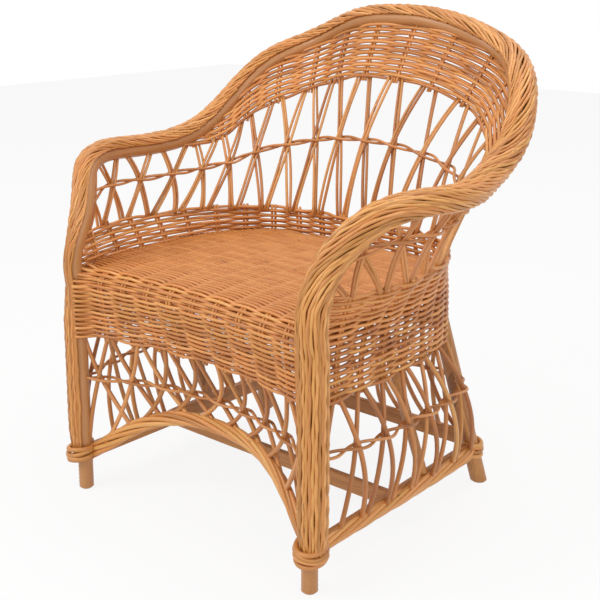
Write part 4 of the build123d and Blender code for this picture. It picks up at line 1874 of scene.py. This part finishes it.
@dataclass
class FrameTimber:
    """The straight poles, strips and nails that keep their shape from the frame."""

    upright: tuple[str, ...] = (
        "rear_leg_left",
        "rear_leg_right",
        "side_brace_left",
        "side_brace_right",
    )
    front_to_back: tuple[str, ...] = (
        "seat_side_rail_left",
        "seat_side_rail_right",
        "base_side_rail_left",
        "base_side_rail_right",
    )
    side_to_side: tuple[str, ...] = (
        "seat_back_rail",
        "seat_front_rail",
        "seat_cross_bars",
        "base_rear_rail",
        "base_cross_rail",
    )
    metal: tuple[str, ...] = ("rail_nails",)

    def build(self, store: Store) -> None:
        """Dresses each piece with the grain along its length.

        Args:
            store: where the built materials are kept.
        """
        groups = (
            (self.upright, POLE_Z),
            (self.front_to_back, POLE_Y),
            (self.side_to_side, POLE_X),
            (self.metal, NAIL),
        )
        for names, finish in groups:
            for name in names:
                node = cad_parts[name]
                node.data.materials.clear()
                node.data.materials.append(store.material(finish))
                LOG.info("%s: dressed in %s", name, finish.name)


# ---- studio ----
@dataclass(frozen=True)
class Lamp:
    """One square soft light: where it hangs, its side in metres and its power in watts."""

    name: str
    place: Place
    size: float
    power: float


@dataclass
class Studio:
    """Pale floor, even light and the camera.

    The camera's angles are in degrees. Its focal length is a share of the sensor's width,
    and the view is shifted down by a share of its own width.
    """

    floor_size: float = 12.0
    floor_grey: float = 0.86
    floor_roughness: float = 0.9
    floor_glow: float = 0.88
    light_colour: Colour = (1.0, 0.985, 0.97)
    light_strength: float = 0.54
    lamps: tuple[Lamp, ...] = (
        Lamp("key_light", (-1.1, -2.6, 2.7), size=1.8, power=54.0),
        Lamp("fill_light", (2.6, -1.2, 1.6), size=2.0, power=19.0),
        Lamp("top_light", (0.3, 0.6, 3.0), size=2.0, power=26.0),
    )
    lamp_aim: Place = (0.0, 0.0, 0.42)
    camera_place: Place = (1.2103, -1.4279, 0.9147)
    camera_azimuth: float = 40.48
    camera_pitch: float = 12.62
    focal_share: float = 1.8357
    shift_down: float = 0.15
    sensor: float = 36.0

    def build_floor(self) -> None:
        """Lays the floor, which shows nearly white to the camera and keeps soft shadows."""
        half = self.floor_size / 2
        mesh = bpy.data.meshes.new("studio_floor")
        corners = [(-half, -half, 0.0), (half, -half, 0.0), (half, half, 0.0), (-half, half, 0.0)]
        mesh.from_pydata(corners, [], [(0, 1, 2, 3)])
        floor = bpy.data.objects.new("studio_floor", mesh)
        bpy.context.scene.collection.objects.link(floor)
        material, shader = new_material("studio_paper")
        tree = material.node_tree
        shader.inputs["Base Color"].default_value = (*[self.floor_grey] * 3, 1.0)
        shader.inputs["Roughness"].default_value = self.floor_roughness
        glow = tree.nodes.new("ShaderNodeEmission")
        glow.inputs["Color"].default_value = (1.0, 1.0, 1.0, 1.0)
        mix = tree.nodes.new("ShaderNodeMixShader")
        seen = arithmetic(tree, "MULTIPLY", self.seen_rays(tree), self.floor_glow)
        tree.links.new(seen, mix.inputs["Fac"])
        tree.links.new(shader.outputs["BSDF"], mix.inputs[1])
        tree.links.new(glow.outputs["Emission"], mix.inputs[2])
        tree.links.new(mix.outputs["Shader"], tree.nodes["Material Output"].inputs["Surface"])
        mesh.materials.append(material)

    def seen_rays(self, tree: bpy.types.NodeTree) -> bpy.types.NodeSocket:
        """Tells which rays show the background itself.

        Args:
            tree: the nodes of the world or material.

        Returns:
            1 for camera, glossy and transmission rays, and 0 for all others.
        """
        path = tree.nodes.new("ShaderNodeLightPath")
        camera, glossy, through = (
            path.outputs[f"Is {kind} Ray"] for kind in ("Camera", "Glossy", "Transmission")
        )
        seen = arithmetic(tree, "MAXIMUM", camera, glossy)
        return arithmetic(tree, "MAXIMUM", seen, through)

    def build_world(self) -> None:
        """A white backdrop for the camera and a softer white light for the object."""
        world = bpy.data.worlds.new("studio_world")
        world.use_nodes = True
        tree = world.node_tree
        light = tree.nodes["Background"]
        light.inputs["Color"].default_value = (*self.light_colour, 1.0)
        light.inputs["Strength"].default_value = self.light_strength
        white = tree.nodes.new("ShaderNodeBackground")
        white.inputs["Color"].default_value = (1.0, 1.0, 1.0, 1.0)
        white.inputs["Strength"].default_value = 1.0
        mix = tree.nodes.new("ShaderNodeMixShader")
        tree.links.new(self.seen_rays(tree), mix.inputs["Fac"])
        tree.links.new(light.outputs["Background"], mix.inputs[1])
        tree.links.new(white.outputs["Background"], mix.inputs[2])
        tree.links.new(mix.outputs["Shader"], tree.nodes["World Output"].inputs["Surface"])
        bpy.context.scene.world = world

    def hang(self, lamp: Lamp) -> None:
        """Hangs a soft light that faces the middle of the chair.

        Args:
            lamp: which light.
        """
        data = bpy.data.lights.new(lamp.name, "AREA")
        data.size = lamp.size
        data.energy = lamp.power
        light = bpy.data.objects.new(lamp.name, data)
        light.location = lamp.place
        aim = Vector(self.lamp_aim) - light.location
        light.rotation_mode = "QUATERNION"
        light.rotation_quaternion = aim.to_track_quat("-Z", "Y")
        bpy.context.scene.collection.objects.link(light)

    def build_camera(self) -> None:
        """Sets the camera, level in roll and looking slightly down."""
        data = bpy.data.cameras.new("camera")
        data.sensor_width = self.sensor
        data.lens = self.sensor * self.focal_share
        data.shift_y = -self.shift_down
        camera = bpy.data.objects.new("camera", data)
        turn, pitch = math.radians(self.camera_azimuth), math.radians(self.camera_pitch)
        level = math.cos(pitch)
        ahead = Vector((-math.sin(turn) * level, math.cos(turn) * level, -math.sin(pitch)))
        camera.location = self.camera_place
        camera.rotation_mode = "QUATERNION"
        camera.rotation_quaternion = ahead.to_track_quat("-Z", "Y")
        bpy.context.scene.collection.objects.link(camera)
        bpy.context.scene.camera = camera

    def build(self) -> None:
        """Builds floor, light and camera."""
        self.build_floor()
        self.build_world()
        for lamp in self.lamps:
            self.hang(lamp)
        self.build_camera()
        bpy.context.scene.view_settings.view_transform = "Standard"


def main() -> None:
    """Builds every piece in order."""
    logging.basicConfig(level=logging.INFO, format="%(name)s: %(message)s")
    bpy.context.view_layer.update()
    body = Body()
    store = Store()
    FrameTimber().build(store)
    Hoop(body).build(store)
    WaistBand(body, Weaving(weaver_diameter=0.0060, swing=0.0036)).build(store)
    apron = Weaving(weaver_diameter=0.0057, pitch=0.0043, swing=0.0031)
    seat = Weaving(weaver_diameter=0.0056, pitch=0.0049, swing=0.0014, wander=0.0003)
    SeatAndApron(body, apron, seat).build(store)
    band = BackBand(body, Weaving(weaver_diameter=0.0064, pitch=0.0055, swing=0.0035))
    band.build(store)
    RolledBorder(body).build(store)
    lattice = OpenLattice(body, band)
    lattice.build(store)
    PlaitedEdge(body, lattice).build(store)
    LegWraps(body).build(store)
    Studio().build()


if __name__ == "__main__":
    main()
